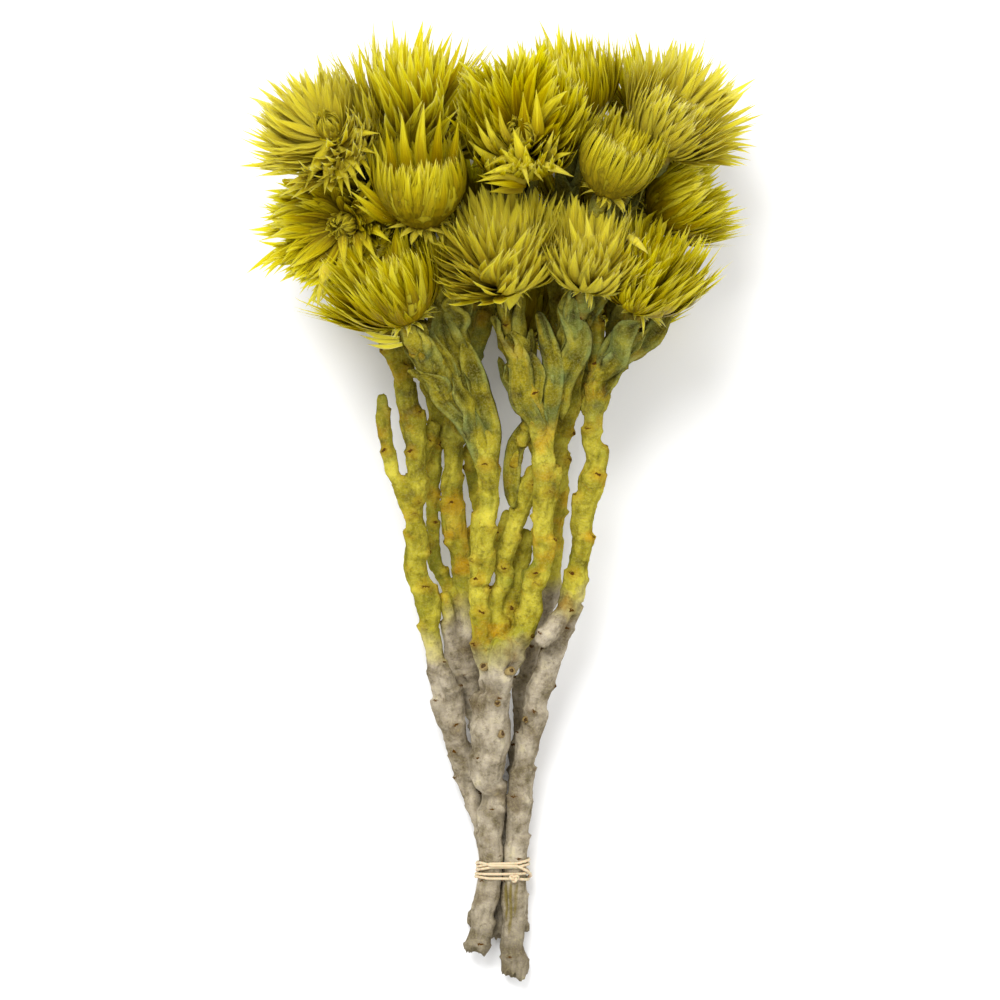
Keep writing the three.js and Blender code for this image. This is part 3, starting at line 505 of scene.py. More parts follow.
def main_bracts(head, draw):
    """The bracts over the sides of the knob, the outermost first."""
    n = head["count"]
    depth = (np.arange(n) + 0.5) / n
    jitter = jitters(draw, n)
    angle = GOLDEN * np.arange(n) + jitter(0.2)
    outward = np.stack([np.cos(angle), np.sin(angle)], -1) @ head["basis"][:2]
    lopsided = LOPSIDED * min(1, 0.3 + head["open"])
    opened = np.clip(head["open"] + lopsided * (outward @ head["away"]), 0.03, 1.5)
    rise = 3 * depth + draw.uniform(0, 99)
    flow_at = np.stack([1.5 * np.cos(angle), 1.5 * np.sin(angle), rise], -1)
    tufts, swirl = lumps(flow_at, 1.0, 0.0), lumps(flow_at, 1.0, 7.0)
    fan = head["fan"]
    inward = ease((depth - mix(0.35, 0.0, fan)) / mix(0.65, 1.0, fan))
    outer_low = mix(58, mix(76, 86, fan), opened)
    inner_low = mix(12, mix(54, 30, fan), opened)
    low = mix(outer_low, inner_low, inward) - mix(12, 6, opened) * depth
    low = low + jitter(1) * mix(0.6, 2.5, opened)
    outer_high = mix(-12, mix(30, 66, fan), opened)
    inner_high = mix(-14, mix(24, 16, fan), opened)
    high = mix(outer_high, inner_high, inward)
    high = high + jitter(1) * mix(1.5, 7, opened) + mix(5, 18, opened) * tufts
    opened = np.minimum(opened, 1)
    full, tight = (np.interp(depth, DEPTHS, lengths) for lengths in (OPEN_LENGTHS, SHUT_LENGTHS))
    level = depth**1.4
    length = mix(tight, full, opened) * (1 + 0.1 * tufts + jitter(1) * mix(0.07, 0.1, opened))
    width = head["broad"] * mix(3.2, 3.1, opened) * mix(1.05, 0.9, depth)
    return {
        "angle": angle + 0.1 * swirl,
        "radius": core_radius(level) - 0.8,
        "height": 0.92 * CORE_HEIGHT * level,
        "low": np.radians(low),
        "high": np.radians(high),
        "length": length,
        "width": width * np.clip(1 + jitter(0.28), 0.45, 1.6),
        "cup": mix(0.16, 0.2, opened) + jitter(0.06),
        # painted shade: the outer bracts of a closed head are darkened, most towards their roots
        "dusk": ease(1.25 - 1.4 * opened) * ease(1.1 - 1.2 * depth),
        "twist": jitter(0.14),
        "sway": jitter(0.06) + 0.42 * swirl,
    }


# %% [markdown]
# ## Small bracts above and below
# An open head is closed by a rosette of short bracts over the disc, and some of them have curled up
# as they dried. Under the head a few dry ones have turned right back. Both are the same blade,
# only shorter and with wilder numbers.

# %% The rosette and the bracts that turned back
INNER_BRACTS = 56
REFLEXED_BRACTS = 30


def inner_bracts(head, draw):
    """The small ones that lean in over the disc, a few of them curled up."""
    n = INNER_BRACTS
    jitter = jitters(draw, n)
    curled = draw.random(n) < mix(0.1, 0.75, head["open"])
    return {
        "angle": GOLDEN * np.arange(n) + jitter(0.1),
        "radius": 4.5 - 0.9 * np.linspace(0, 1, n),
        "height": CORE_HEIGHT + 0.5 * np.linspace(0, 1, n),
        "low": np.radians(mix(4, 12, head["open"]) + jitter(7)),
        "high": np.radians(np.where(curled, -150 + jitter(40), -30 + jitter(16))),
        "length": np.where(curled, 10.0, 7.0) + jitter(1.1),
        "width": 2.0 + jitter(0.25),
        "cup": 0.5 + jitter(0.2),
        "twist": jitter(0.4),
        "sway": jitter(0.12),
    }


def reflexed_bracts(draw):
    """The dry ones under the head."""
    jitter = jitters(draw, REFLEXED_BRACTS)
    return {
        "angle": GOLDEN * np.arange(REFLEXED_BRACTS) + jitter(0.1),
        "radius": 3.3 + jitter(0),
        "height": 0.8 + 0.2 * jitter(1),
        "low": np.radians(84 + jitter(14)),
        "high": np.radians(210 + jitter(60)),
        "length": 8.0 + jitter(2.0),
        "width": 1.9 + jitter(0.3),
        "cup": 1.0 + jitter(0.3),
        "twist": jitter(0.6),
        "sway": jitter(0.15),
    }


# %% [markdown]
# ## Smooth courses
# Loose bracts, broad leaves and the stems all follow a line through a few known points. The line is
# the same curve that shaped the solids, a Catmull-Rom one, which passes through every point without
# a kink. It is cut into steps of a millimetre, so that anything can be read off at any length.


# %% Curves through points
def course(points, step=1.0):
    """A centripetal Catmull-Rom curve through points, resampled in even steps of mm."""
    p = np.array(points, float)
    p = np.vstack([2 * p[0] - p[1], p, 2 * p[-1] - p[-2]])
    dense = []
    for i in range(1, len(p) - 2):
        a, b, c, d = p[i - 1 : i + 3]
        da, db, dc = (np.sum((v - u) ** 2) ** 0.25 for u, v in ((a, b), (b, c), (c, d)))
        ta = ((b - a) / da - (c - a) / (da + db) + (c - b) / db) * db
        tb = ((c - b) / db - (d - b) / (db + dc) + (d - c) / dc) * db
        t = np.linspace(0, 1, 24, endpoint=False)[:, None]
        square, cube = -3 * b + 3 * c - 2 * ta - tb, 2 * b - 2 * c + ta + tb
        dense.append(b + ta * t + square * t**2 + cube * t**3)
    dense = np.vstack([*dense, p[-2]])
    length = np.concatenate([[0], np.cumsum(np.linalg.norm(np.diff(dense, axis=0), axis=1))])
    count = max(2, round(length[-1] / step) + 1)
    at = np.linspace(0, length[-1], count)
    return read_at(at, at_known=length, values=dense), at


def read_at(at, at_known, values):
    """Values that are known at some lengths, read off at others."""
    return np.stack([np.interp(at, at_known, column) for column in np.transpose(values)], -1)


def along_course(points, shares):
    """Places at shares of a course's length, with the upper and the sideways axis there."""
    path, at = course(points)
    axes = [across(ahead) for ahead in unit(np.gradient(path, axis=0))]
    out, side = (unit(read_at(shares * at[-1], at, [pair[k] for pair in axes])) for k in (0, 1))
    return read_at(shares * at[-1], at, path), out, side


# %% [markdown]
# ## Strays
# Some bracts have come loose, were bent in the box or fill a place between two crowded heads. Each
# lies along a course of its own, from its root to its tip, with its flat side up. A row of the
# table has the head's letter, three points (x y z) in mm, the width in mm and how pale it is.

# %% Bracts with courses of their own
STRAY_TABLE = """
f  9 117 88  16 117 94  24.6 113.4 93  3.4 0.8
f  7 121 90  9 118 96  14 111.6 96  2.4 0.7
f  5.5 119 90  7.2 116 97  9.2 109.6 96  2.2 0.7
f  9 115 88  1 120 95  -6.3 116.6 96  3 0.25
f  9 114 88  2 116.5 97  -7.2 114 96  3.4 0.1
f  8 112 88  0 114 95  -9.4 111.6 94  3.2 0.3
f  8 111 86  1 111 95  -6.4 111.2 96  2.8 0
f  7 109.6 85  0 109 92  -5 108.2 93  3.4 0.15
f  6 113 84  -3 112.6 90  -9 114.4 90  3 0
f  2 121 84  -5 125 91  -9.6 133 92  3.2 0.25
f  3 122 84  -3.4 127 92  -6.6 136 93  2.8 0.35
f  5 123 84  0.4 129 92  -1.6 138 94  3 0.25
f  2 118 84  -6 121 90  -12.6 126.6 91  3.2 0.1
f  14 120 84  15.6 124 92  17.6 130 95  2.4 0.55
f  15 119 84  17.4 122.6 92  19.8 128.4 94  2.2 0.45
f  15 118 84  19.6 121 91  25.4 122.2 91  2.2 0.3
f  6 113 86  4 118 95  -1 123.5 95  4.4 0.15
f  7 112 86  8.5 117 96  7.6 124.6 96  4.6 0.1
f  9 113 86  12.6 118 95  15.6 122.8 94  4.2 0
f  8 116 88  6 122 96  3.4 130.5 96  4.4 0
f  10 121 76  7.5 131 86  7 143 90  5.4 0
f  12 121 76  12 131 87  11.5 144 91  5 0.1
r  -38 108 28  -42 122 36  -43.5 143 42  5.5 0
r  -39 108 28  -44.5 121 35  -48.5 139 41  5.5 0
r  -37 108 30  -39.5 123 39  -40 142 44  5 0
r  -40 106 26  -47 117 32  -53 131 38  5.5 0
r  -38 110 26  -43 124 33  -46.5 145 37  5.5 0
j  50 130 32  44 136 37  37 148 40  5 0
j  50 131 32  42 132 36  34.5 139 38  5 0
j  52 133 33  46 140 38  41 152 40  4.5 0
j  50 130 31  43 134 34  35 144 36  5 0
a  -57 127 75  -50 124 87  -43.6 121.6 90  3.8 0.3
a  -57 126 75  -50.4 121 86  -45.4 115.4 89  4 0.15
a  -58 125 75  -53.4 118 86  -50 109.6 87  4 0.3
a  -59 125 75  -57 116 85  -55.6 107 86  4 0.1
a  -60 125 75  -61 116 84  -62 107.6 84  3.8 0.35
a  -61 126 75  -65 118 83  -69 109.4 82  3.8 0.2
a  -58 125 76  -52 119 88  -47.4 112.4 91  3.4 0.45
a  -59 124 75  -55.4 116 86  -52.4 106.6 86  3.2 0.5
a  -56 129 76  -49 129 88  -42.4 128.6 91  3.6 0.4
c  -32 99 73  -41 108 84  -50.4 121.6 86  4 0
c  -33 98 72  -43 105 83  -54 115.6 84  4.2 0
c  -33 99 71  -42 110 82  -48.4 125.4 84  3.6 0
c  -34 97 72  -44 102 82  -53.6 109.4 84  3.8 0
c  -32 100 74  -39.6 111 86  -45.6 126.6 87  4 0
c  -34 97 70  -43 100 79  -51.8 104.6 82  3.4 0
c  -33 100 75  -38.4 113 87  -42.8 128.8 89  3.8 0.1
c  -31 108 82  -33.8 121 92  -35 135.6 96  4.4 0
c  -27 110 82  -28.6 124 92  -27.2 139.2 97  4.6 0
c  -23 110 82  -22.8 123 92  -21.6 136 96  4.2 0
c  -20 108 81  -17.4 120 89  -15.4 133.4 92  4 0
c  -35 106 80  -38.4 118 89  -40.6 131.4 92  4 0
o  4 79 85  3 79.5 92  1.6 77.5 92.5  3.4 1
o  6.5 76 88  5.6 82 94  4.4 87.6 96  2.6 0.85
o  2 76 80  3 73.5 84  2.2 67.5 82.5  7 0.7
o  3 78 84  9 86 93  15.4 93.6 94  4.4 0.5
o  4 77 84  11 83 92  18.6 88.4 92  4 0.3
o  0 79 85  1 90 95  -0.6 101.4 96  4.4 0.4
o  -2 78 84  -8 87 92  -14.6 95.4 92  4.2 0.2
o  -3 76 82  -11 81 89  -19.4 85.6 88  3.8 0.4
o  -3 75 81  -11 77.4 87  -19.8 79.6 86  3.4 0.5
o  5 76 83  12.6 79.6 90  20.4 82.2 89  3.6 0.2
m  27 80 84  22 87 92  17.4 94.4 93  4.4 0.6
m  30 80 86  30 90 96  28.6 101 98  4.6 0.7
m  32 80 86  36.6 88 95  41.4 96 96  4.6 0.7
m  31 80 86  34 90 96  37.4 100.6 98  4.2 0.5
m  28 80 85  25.4 90 95  22.6 99.8 96  4.2 0.4
m  32 78 84  38 83 92  44.4 88 92  4 0.6
p  43 93 90  46 91 95  50.4 86.6 95  3 0.95
d  -61 84 74  -62.6 79 77  -62.8 76.5 77  4.4 0.7
d  -62 79 75  -63.6 75 77  -64.6 68.5 75  2 0.7
d  -52 101 68  -46 105 79  -41 109.6 80  3.8 0.1
d  -53 102 68  -48.4 108 79  -45 115 80  3.8 0
d  -51 99 68  -44.6 100.6 79  -39.4 103 80  3.8 0.1
d  -50 96 66  -46.5 90 80  -43.5 84.5 82  3.6 0.2
d  -52 95 66  -50 89 80  -48.6 82.5 82  3.4 0.1
d  -48 98 66  -43 94.5 80  -38.6 91 82  3.4 0
d  -56 95 66  -55.6 89 79  -54.8 81 80  3.6 0.3
e  -36 58 77  -43 58.5 79  -52.5 63.2 78  1.9 0.7
e  -36 57 77  -43 57 79  -50.5 59.4 77  1.7 0.7
e  -35 56 77  -41 55 78  -47.5 56 76  1.9 0.7
"""
STRAYS = {}
for row in STRAY_TABLE.strip().splitlines():
    key, *numbers = row.split()
    *points, width, pale = map(float, numbers)
    STRAYS.setdefault(key, []).append((np.reshape(points, (3, 3)), width, pale))


def stray(points, width):
    """A bract along a course, its flat side up."""
    x, y, z = BRACT["corners"].T
    place, out, side = along_course(points, z)
    high = y * width - 0.6 * width * x**2
    return place - side * (x * width)[:, None] + out * high[:, None]


# %% [markdown]
# ## The knob and its florets
# The knob is a ring that is extruded up in steps and scaled to the knob's outline. A floret is a
# cone, drawn out and narrowed, that stands on the dome.


# %% The knob and a floret
def knob(levels=8, corners=18):
    """The knob, from its foot to a low dome."""
    steps = [level / levels for level in range(levels + 1)]
    obj = stack(corners, [(CORE_HEIGHT * step, 0.97 * core_radius(step)) for step in steps])
    top = 0.97 * core_radius(1)
    bpy.ops.mesh.inset(thickness=0.5 * top, depth=0.75 * DOME)
    bpy.ops.mesh.inset(thickness=0.25 * top, depth=0.25 * DOME)
    return closed(obj)


def floret():
    """One floret along Z, one long."""
    bpy.ops.object.select_all(action="DESELECT")
    bpy.ops.mesh.primitive_cone_add(
        vertices=5, radius1=0.34, radius2=0.2, depth=1, location=(0, 0, 0.5))
    obj = bpy.context.object
    bpy.ops.object.transform_apply(location=True)
    bpy.ops.object.mode_set(mode="EDIT")
    bpy.ops.mesh.select_all(action="SELECT")
    bpy.ops.mesh.subdivide(number_cuts=1)
    bpy.ops.object.mode_set(mode="OBJECT")
    return template_of(obj)


FLORETS = 48
KNOB = knob()
FLORET = floret()
print("knob:", len(KNOB["sizes"]), "faces, floret:", len(FLORET["sizes"]), "faces")


def florets(head, draw):
    """Tiny florets over the dome, in the golden spiral too."""
    spread = np.sqrt((np.arange(FLORETS) + 0.5) / FLORETS)
    angle = GOLDEN * np.arange(FLORETS)
    round_it = np.stack([np.cos(angle), np.sin(angle), 0 * angle], -1) * spread[:, None]
    foot = 4.1 * round_it
    foot[:, 2] = CORE_HEIGHT + DOME * (1 - spread**2) - 0.3
    way = unit(0.35 * round_it + [0, 0, 1] + draw.normal(0, 0.12, (FLORETS, 3)))
    tall = (2.1 + draw.normal(0, 0.35, FLORETS))[:, None]
    level = unit(np.cross(way, [1.0, 0.2, 0.1]))
    axes = np.stack([level, np.cross(way, level), way * tall], 1)
    world = on_head(foot[:, None] + FLORET["corners"] @ axes, head)
    return drawn_in(world, head, np.zeros(world.shape[:2]))


# %% [markdown]
# ## All the heads
# Each head becomes one mesh that stands for its solid. Four numbers go with every corner for the
# finish to read: how far along the bract it is, a tint that each bract has to itself, how pale
# and dry the bract is, and how much painted shade it gets: the outer bracts of a closed head are
# painted darker towards their roots, and so are the knob, the florets and some strays.


# %% Build the heads
def only(obj):
    """Makes obj the one selected and active object."""
    bpy.ops.object.select_all(action="DESELECT")
    obj.select_set(True)
    bpy.context.view_layer.objects.active = obj


def triangles(obj):
    """How many triangles a mesh comes to."""
    return sum(len(face.vertices) - 2 for face in obj.data.polygons)


def blade_uv(template):
    """Across a blade from 0 to 1, and along it."""
    x, _, z = template["corners"].T
    wide = np.interp(z, [0, 0.45, 1], [0.62, 1.0, 0.02])
    return np.stack([np.clip(0.5 + x / wide, 0, 1), z], -1)


def flower(key, number):
    """A whole head as one mesh."""
    head = heads[key]
    draw = np.random.default_rng(500 + number)
    parts = []

    def add(template, places, pale, dusk, uv):
        z = template["corners"][:, 2]
        tint = draw.random(len(places))[:, None]
        given = {"along": z[None] / z.max(), "tint": tint, "pale": pale, "dusk": dusk}
        parts.append((template, places, given, uv))

    uv = blade_uv(BRACT)
    spec = main_bracts(head, draw)
    spare = draw.normal(-0.4, 0.9, head["count"])
    # the number after the paleness is painted shade, for the bracts, the turned-back ones, the
    # florets, the strays and the knob
    add(BRACT, bent(BRACT, spec, head, spare), head["pale"], spec["dusk"][:, None], uv)
    add(BRACT, bent(BRACT, inner_bracts(head, draw), head), 0.3, 0.0, uv)
    add(BRACT, bent(BRACT, reflexed_bracts(draw), head), 0.5, 0.2, uv)
    add(FLORET, florets(head, draw), 0.1, 0.5, np.zeros((len(FLORET["corners"]), 2)))
    for points, width, pale in STRAYS.get(key, []):
        add(BRACT, stray(points, width)[None], pale, max(0.0, 0.6 - 2 * pale), uv)
    add(KNOB, on_head(KNOB["corners"], head)[None], 0.0, 0.8, np.zeros((len(KNOB["corners"]), 2)))
    obj = built("bloom_" + key, parts)
    only(obj)
    bpy.ops.object.shade_smooth_by_angle(angle=math.radians(50))
    return obj


blooms = {}
for number, key in enumerate(HEADS):
    blooms[key] = flower(key, number)
print("blooms:", sum(triangles(o) for o in blooms.values()), "triangles in all")

# %% [markdown]
# ## The courses of the stems
# A smooth course runs through each trunk's and shoot's points. Every step of it keeps its place,
# its direction and the wood's radius there, because scars and wrinkles are laid out along them
# later. Where a shoot meets its head, it comes in along the head's own axis.


# %% The runs of wood
def shoot_course(start, key, via):
    """From the trunk, through its points, to the foot of a head."""
    base, axis = heads[key]["base"], heads[key]["axis"]
    return course([start, *via, base - 7 * axis, base - 0.35 * axis])


def courses_of(stem):
    """All the runs of wood of a stem: dicts with points, at (mm along), radius and kind."""
    rows = stem["trunk"]
    points, at = course(rows[:, :3])
    knots = np.cumsum(np.linalg.norm(np.diff(rows[:, :3], axis=0, prepend=rows[:1, :3]), axis=1))
    radius = np.interp(at / at[-1], knots / knots[-1], rows[:, 3])
    runs = [{"points": points, "at": at, "kind": "trunk", "radius": radius}]
    for row, key, leaves, via, *given in stem["shoot"]:
        points, at = shoot_course(rows[row, :3], key, via)
        root = given[0] if given else min(3.5, rows[row, 3] * 0.82)
        radius = np.interp(at / at[-1], [0, 0.5, 1], [root, root * 0.95, 3.3])
        run = {"points": points, "at": at, "kind": "shoot", "radius": radius, "leaves": leaves}
        runs.append(run)
    for points, root in stem["stub"]:
        points, at = course(points)
        runs.append({"points": points, "at": at, "kind": "stub", "radius": np.full(len(at), root)})
    for run in runs:
        run["tangent"] = unit(np.gradient(run["points"], axis=0))
        axes = np.array([across(ahead) for ahead in run["tangent"]])
        run["out"], run["side"] = axes[:, 0], axes[:, 1]
    return runs


runs_of = {name: courses_of(stem) for name, stem in STEMS.items()}
print("wood:", round(sum(run["at"][-1] for runs in runs_of.values() for run in runs)), "mm in all")

# %% [markdown]
# ## Leaf scars
# Every old leaf has left a scar on the wood with a small ledge over it, one every eleven
# millimetres or so, turned on round the stem each time, most of them on its upper side. Between
# two scars the wood bulges and leans a little to one side, which gives the stems their jointed,
# zigzag look. Only the stretch under the band stays straight.

# %% Where the scars are
SCAR_STEP = 11.0
TURN_ON = 2.4  # radians round the stem from a scar to the next


def marks_on(length, draw):
    """The scars of a run: how far along, how far round, and how strong."""
    at, angle, marks = draw.uniform(3, 9), draw.uniform(0, 2 * math.pi), []
    while at < length - 2:
        marks.append((at, 0.6 * math.remainder(angle, 2 * math.pi), draw.uniform(0.45, 1)))
        at += SCAR_STEP * draw.uniform(0.65, 1.35)
        angle += TURN_ON + draw.normal(0, 0.25)
    return marks


def softened(steps):
    """Values along a run, each made the mean of the five round it."""
    return np.convolve(np.pad(steps, 2, "edge"), np.ones(5) / 5, "valid")


def jointed(run, draw):
    """Leans and swells the wood between its scars."""
    joints = np.array([-5] + [mark[0] for mark in run["marks"]] + [run["at"][-1] + 5])
    lean = draw.normal(0, 0.8, (len(joints) - 1, 2))
    fat = draw.normal(0, 0.09, len(joints) - 1)
    segment = np.clip(np.searchsorted(joints, run["at"]) - 1, 0, len(lean) - 1)
    quiet = np.clip((np.abs(run["points"][:, 1] - BAND_Y) - 8) / 10, 0, 1)
    for k, axis in enumerate(("out", "side")):
        drift = softened(lean[segment, k]) * quiet
        run["points"] = run["points"] + run[axis] * drift[:, None]
    run["radius"] = run["radius"] * (1 + softened(fat[segment]) * quiet)


for number, runs in enumerate(runs_of.values()):
    draw = np.random.default_rng(900 + number)
    for run in runs:
        run["marks"] = marks_on(run["at"][-1], draw)
        jointed(run, draw)
print("scars:", sum(len(run["marks"]) for runs in runs_of.values() for run in runs))

# %% [markdown]
# ## Leaves
# The leaves are thick and felted. Most hug their shoot from the root and lift off towards the tip,
# and a few broad ones stand free. They are a blade again with more stations, laid along a path and
# wrapped round the shoot. A long tail below the root of a hugging leaf runs down the wood as a
# ridge.

# %% Leaf blades
LEAF_BACK = [28, 34, 41, 49]  # how far below the head each leaf is rooted
LEAF_LENGTH = 31.0
LEAF_WIDTH = 9.0
LEAF_LIFT = 7.0  # of its tip off the shoot
LEAF_TAIL = 10.0
LEAF_STATIONS = 26
LEAF_AT = [0, 0.12, 0.3, 0.5, 0.75, 0.88, 0.96, 1]  # from its root to its tip
LEAF_WIDTHS = [0.3, 0.6, 0.85, 1, 0.92, 0.66, 0.36, 0.14]
stations = np.arange(LEAF_STATIONS) / LEAF_STATIONS
LEAF = blade(
    [(float(t), float(np.interp(t, LEAF_AT, LEAF_WIDTHS))) for t in stations],
    corners=14, flatness=0.17)
LEAF_EDGE = 2 * LEAF["corners"][:, 0]  # -1 and 1 on the margins, 0 down the middle
LEAF_EDGE = LEAF_EDGE / np.interp(LEAF["corners"][:, 2], LEAF_AT, LEAF_WIDTHS)
LEAF_EDGE = LEAF_EDGE.clip(-1, 1)


def leaf_places(run, index):
    """The root, way forward, way outward and length of each leaf on a shoot, as in the solids."""
    total = run["at"][-1]
    for k, turned in enumerate(run.get("leaves", "")):
        if turned == "-":
            continue
        at = max(0.08 * total, total - LEAF_BACK[k])
        root, ahead = read_at([at, min(total, at + 20)], run["at"], run["points"])
        forward = unit(ahead - root)
        out, side = across(forward)
        angle = 1.3 * index + 2.4 * k + 0.7 * int(turned)
        for extra in (0.0, 1.15):  # each has a smaller one beside it
            outward = out * math.cos(angle + extra) + side * math.sin(angle + extra)
            length = LEAF_LENGTH * (1 - 0.06 * k) * (1 - 0.2 * extra)
            yield root + forward * 3 * extra, forward, outward, length


# %% [markdown]
# ## Crumpling the leaves
# A felted leaf dries uneven: it creases down the middle, folds, waves at its edge and rolls its
# margins back. Cloth simulation could do that, but a leaf this small and thick keeps its folds, so
# waves and noise across the blade give them directly, and how hollow each corner lies is kept for
# the finish, which paints shade into the hollows and a highlight onto the raised folds.


# %% Crumple a leaf and lay it
def crumpled(centre, out, side, u, width, wrap, draw):
    """A leaf's corners in mm and how hollow each lies. centre, out and side hold each corner's
    place and axes on the path, and u runs from 0 at the root to 1 at the tip."""
    x, y, z = LEAF["corners"].T
    edge, tip = LEAF_EDGE, np.clip(u, 0, 1)
    phase = lambda: draw.uniform(0, 6)
    swing = draw.normal(0, 0.9) * np.sin(math.pi * tip * 2)
    swing = swing + draw.normal(0, 0.6) * np.sin(math.pi * tip * 3.3)
    left, right = (np.sin(draw.uniform(7, 12) * u + phase()) for _ in range(2))
    wave = 0.75 * np.where(x > 0, left, right) * edge**2
    rib = x - 0.08 * np.sin(4 * u + phase())
    crease = -0.7 * np.exp(-((8 * rib) ** 2))
    crease = crease + 0.35 * np.sin(11 * x + 3 * u + phase()) * (1 - edge**2)
    seed = 0 * x + draw.uniform(0, 99)
    fold_at = np.stack([x * width / 2.3, 3.4 * u, seed], -1)
    folds = 1.4 * lumps(fold_at, 1.0, 0.0) + 0.5 * lumps(fold_at * [2.1, 2.4, 1], 1.0, 4.0)
    ragged = 1 + 0.22 * lumps(np.stack([4.5 * u, np.sign(x), seed], -1), 1.0, 2.0)
    roll = -0.6 * np.clip(np.abs(edge) - 0.72, 0, 1) / 0.28
    turn = draw.normal(0, 0.22) * np.sin(math.pi * tip) + draw.normal(0, 0.35) * tip**2
    cos, sin = np.cos(turn)[:, None], np.sin(turn)[:, None]
    wide, thick = side * cos + out * sin, out * cos - side * sin
    across_it = x * width * ragged + swing
    high = y * width + wave + crease + folds + roll - wrap * (2 * x) ** 2
    return centre + wide * across_it[:, None] + thick * high[:, None], -(crease + folds)


def hugging(root, forward, outward, length, draw):
    """A leaf that hugs its shoot, with its tail."""
    z = LEAF["corners"][:, 2]
    u = (z * (length + LEAF_TAIL) - LEAF_TAIL) / length  # negative down the tail
    tip = np.clip(u, 0, 1) ** 2
    lift = np.interp(u, [-0.3, 0, 0.35, 0.7, 1], [0.0, 2.0, 4.2, 5.6, LEAF_LIFT])
    lift = lift + draw.normal(0, 1.2) * tip
    side = np.cross(outward, forward)
    swing = draw.normal(0, 2.8) * tip
    centre = root + forward * (u * length)[:, None]
    centre = centre + outward * lift[:, None] + side * swing[:, None]
    ones = np.ones((len(u), 1))
    wrap = 1.9 * np.interp(u, [-0.3, 0.3, 1], [1.6, 1, 0.1])
    width = LEAF_WIDTH * draw.uniform(0.85, 1.15)
    return crumpled(centre, outward * ones, side * ones, u, width, wrap, draw)


def broad(points, width, draw):
    """A leaf along its own course, its flat side up."""
    first, second = np.array(points[:2], float)
    hidden = first + (first - second) * 0.35 - [0, 0, 2.5]  # the root sinks into the wood
    u = LEAF["corners"][:, 2]
    place, out, side = along_course([hidden, *points], u)
    return crumpled(place, out, -side, u, width * 1.1, 1.5 * (1 - u), draw)


# %% [markdown]
# ## One woolly skin
# Trunk, shoots and stubs are drawn as curves with a thickness and made a mesh. A voxel remesh then
# grows them into one skin, as on the real stem, and a round of smoothing softens the joints. The
# leaves are joined to it afterwards, because a remesh would blur their edges, and so are the few
# dry buds: short cups with a knob in them, each worn to an oval of its own.

# %% Rods and buds
VOXEL = 0.75  # mm
BUDS = {  # place and the way it faces
    "stem_front_left": [
        ([-2, -70, 38.4], [0.1, 0.3, 1]), ([-0.4, -81, 33.2], [0.35, 0.2, 1]),
        ([2.6, -58.6, 42.2], [0.5, 0.3, 1]), ([-6.6, -57, 39], [-0.5, 0.2, 1]),
    ],
    "stem_front_right": [([8, -76, 28], [-0.2, 0.2, 1])],
}


def tapered(run):
    """A snapped stub narrows to its end."""
    if run["kind"] != "stub":
        return run["radius"]
    return run["radius"] * np.interp(run["at"][-1] - run["at"], [0, 1.2, 3], [0.72, 0.95, 1])


def rods(name, runs, roundness=5, loop=False):
    """Runs of (points, radii) in mm as one mesh of round rods."""
    curve = bpy.data.curves.new(name, "CURVE")
    curve.dimensions = "3D"
    curve.bevel_depth = MM
    curve.bevel_resolution = roundness
    curve.use_fill_caps = not loop
    for points, radii in runs:
        spline = curve.splines.new("POLY")
        spline.points.add(len(points) - 1)
        spline.points.foreach_set("co", np.c_[(points + SHIFT) * MM, np.ones(len(points))].ravel())
        spline.points.foreach_set("radius", radii)
        spline.use_cyclic_u = loop
    only(placed(name, curve))
    bpy.ops.object.convert(target="MESH")
    return bpy.context.object


def bud():
    """A dry bud, facing up Z."""
    obj = stack(12, [(-1.5, 1.3), (0, 1.3 * 1.15), (1.0, 1.3 * 1.15 * 0.85)])
    for thickness, depth in ((0.35, 0.1), (0.15, -0.7), (0.2, 0.5)):
        bpy.ops.mesh.inset(thickness=thickness, depth=depth)
    return closed(obj)


BUD = bud()


def buds_on(name):
    """The buds of a stem as one mesh, their cups painted dark inside as shade."""
    draw = np.random.default_rng(len(name))
    places = []
    x, y, _ = BUD["corners"].T
    angle = np.arctan2(y, x)
    for place, faces in BUDS[name]:
        axis = unit(faces)
        out, side = across(axis)
        worn = 1 + 0.14 * np.sin(2 * angle + draw.uniform(0, 6))
        worn = worn + 0.1 * np.sin(3 * angle + draw.uniform(0, 6))
        own = BUD["corners"] * np.array([1.0, 0.86, 1.0])
        own[:, :2] *= (worn * draw.uniform(0.95, 1.2))[:, None]
        places.append(np.array(place) + own @ np.array([side, out, axis]))
    given = {"bud": 1.0, "hollow": np.where(np.hypot(x, y) < 0.8, 1.0, 0.0)[None]}
    return built(name + "_buds", [(BUD, np.array(places), given, BUD["corners"][:, :2])])


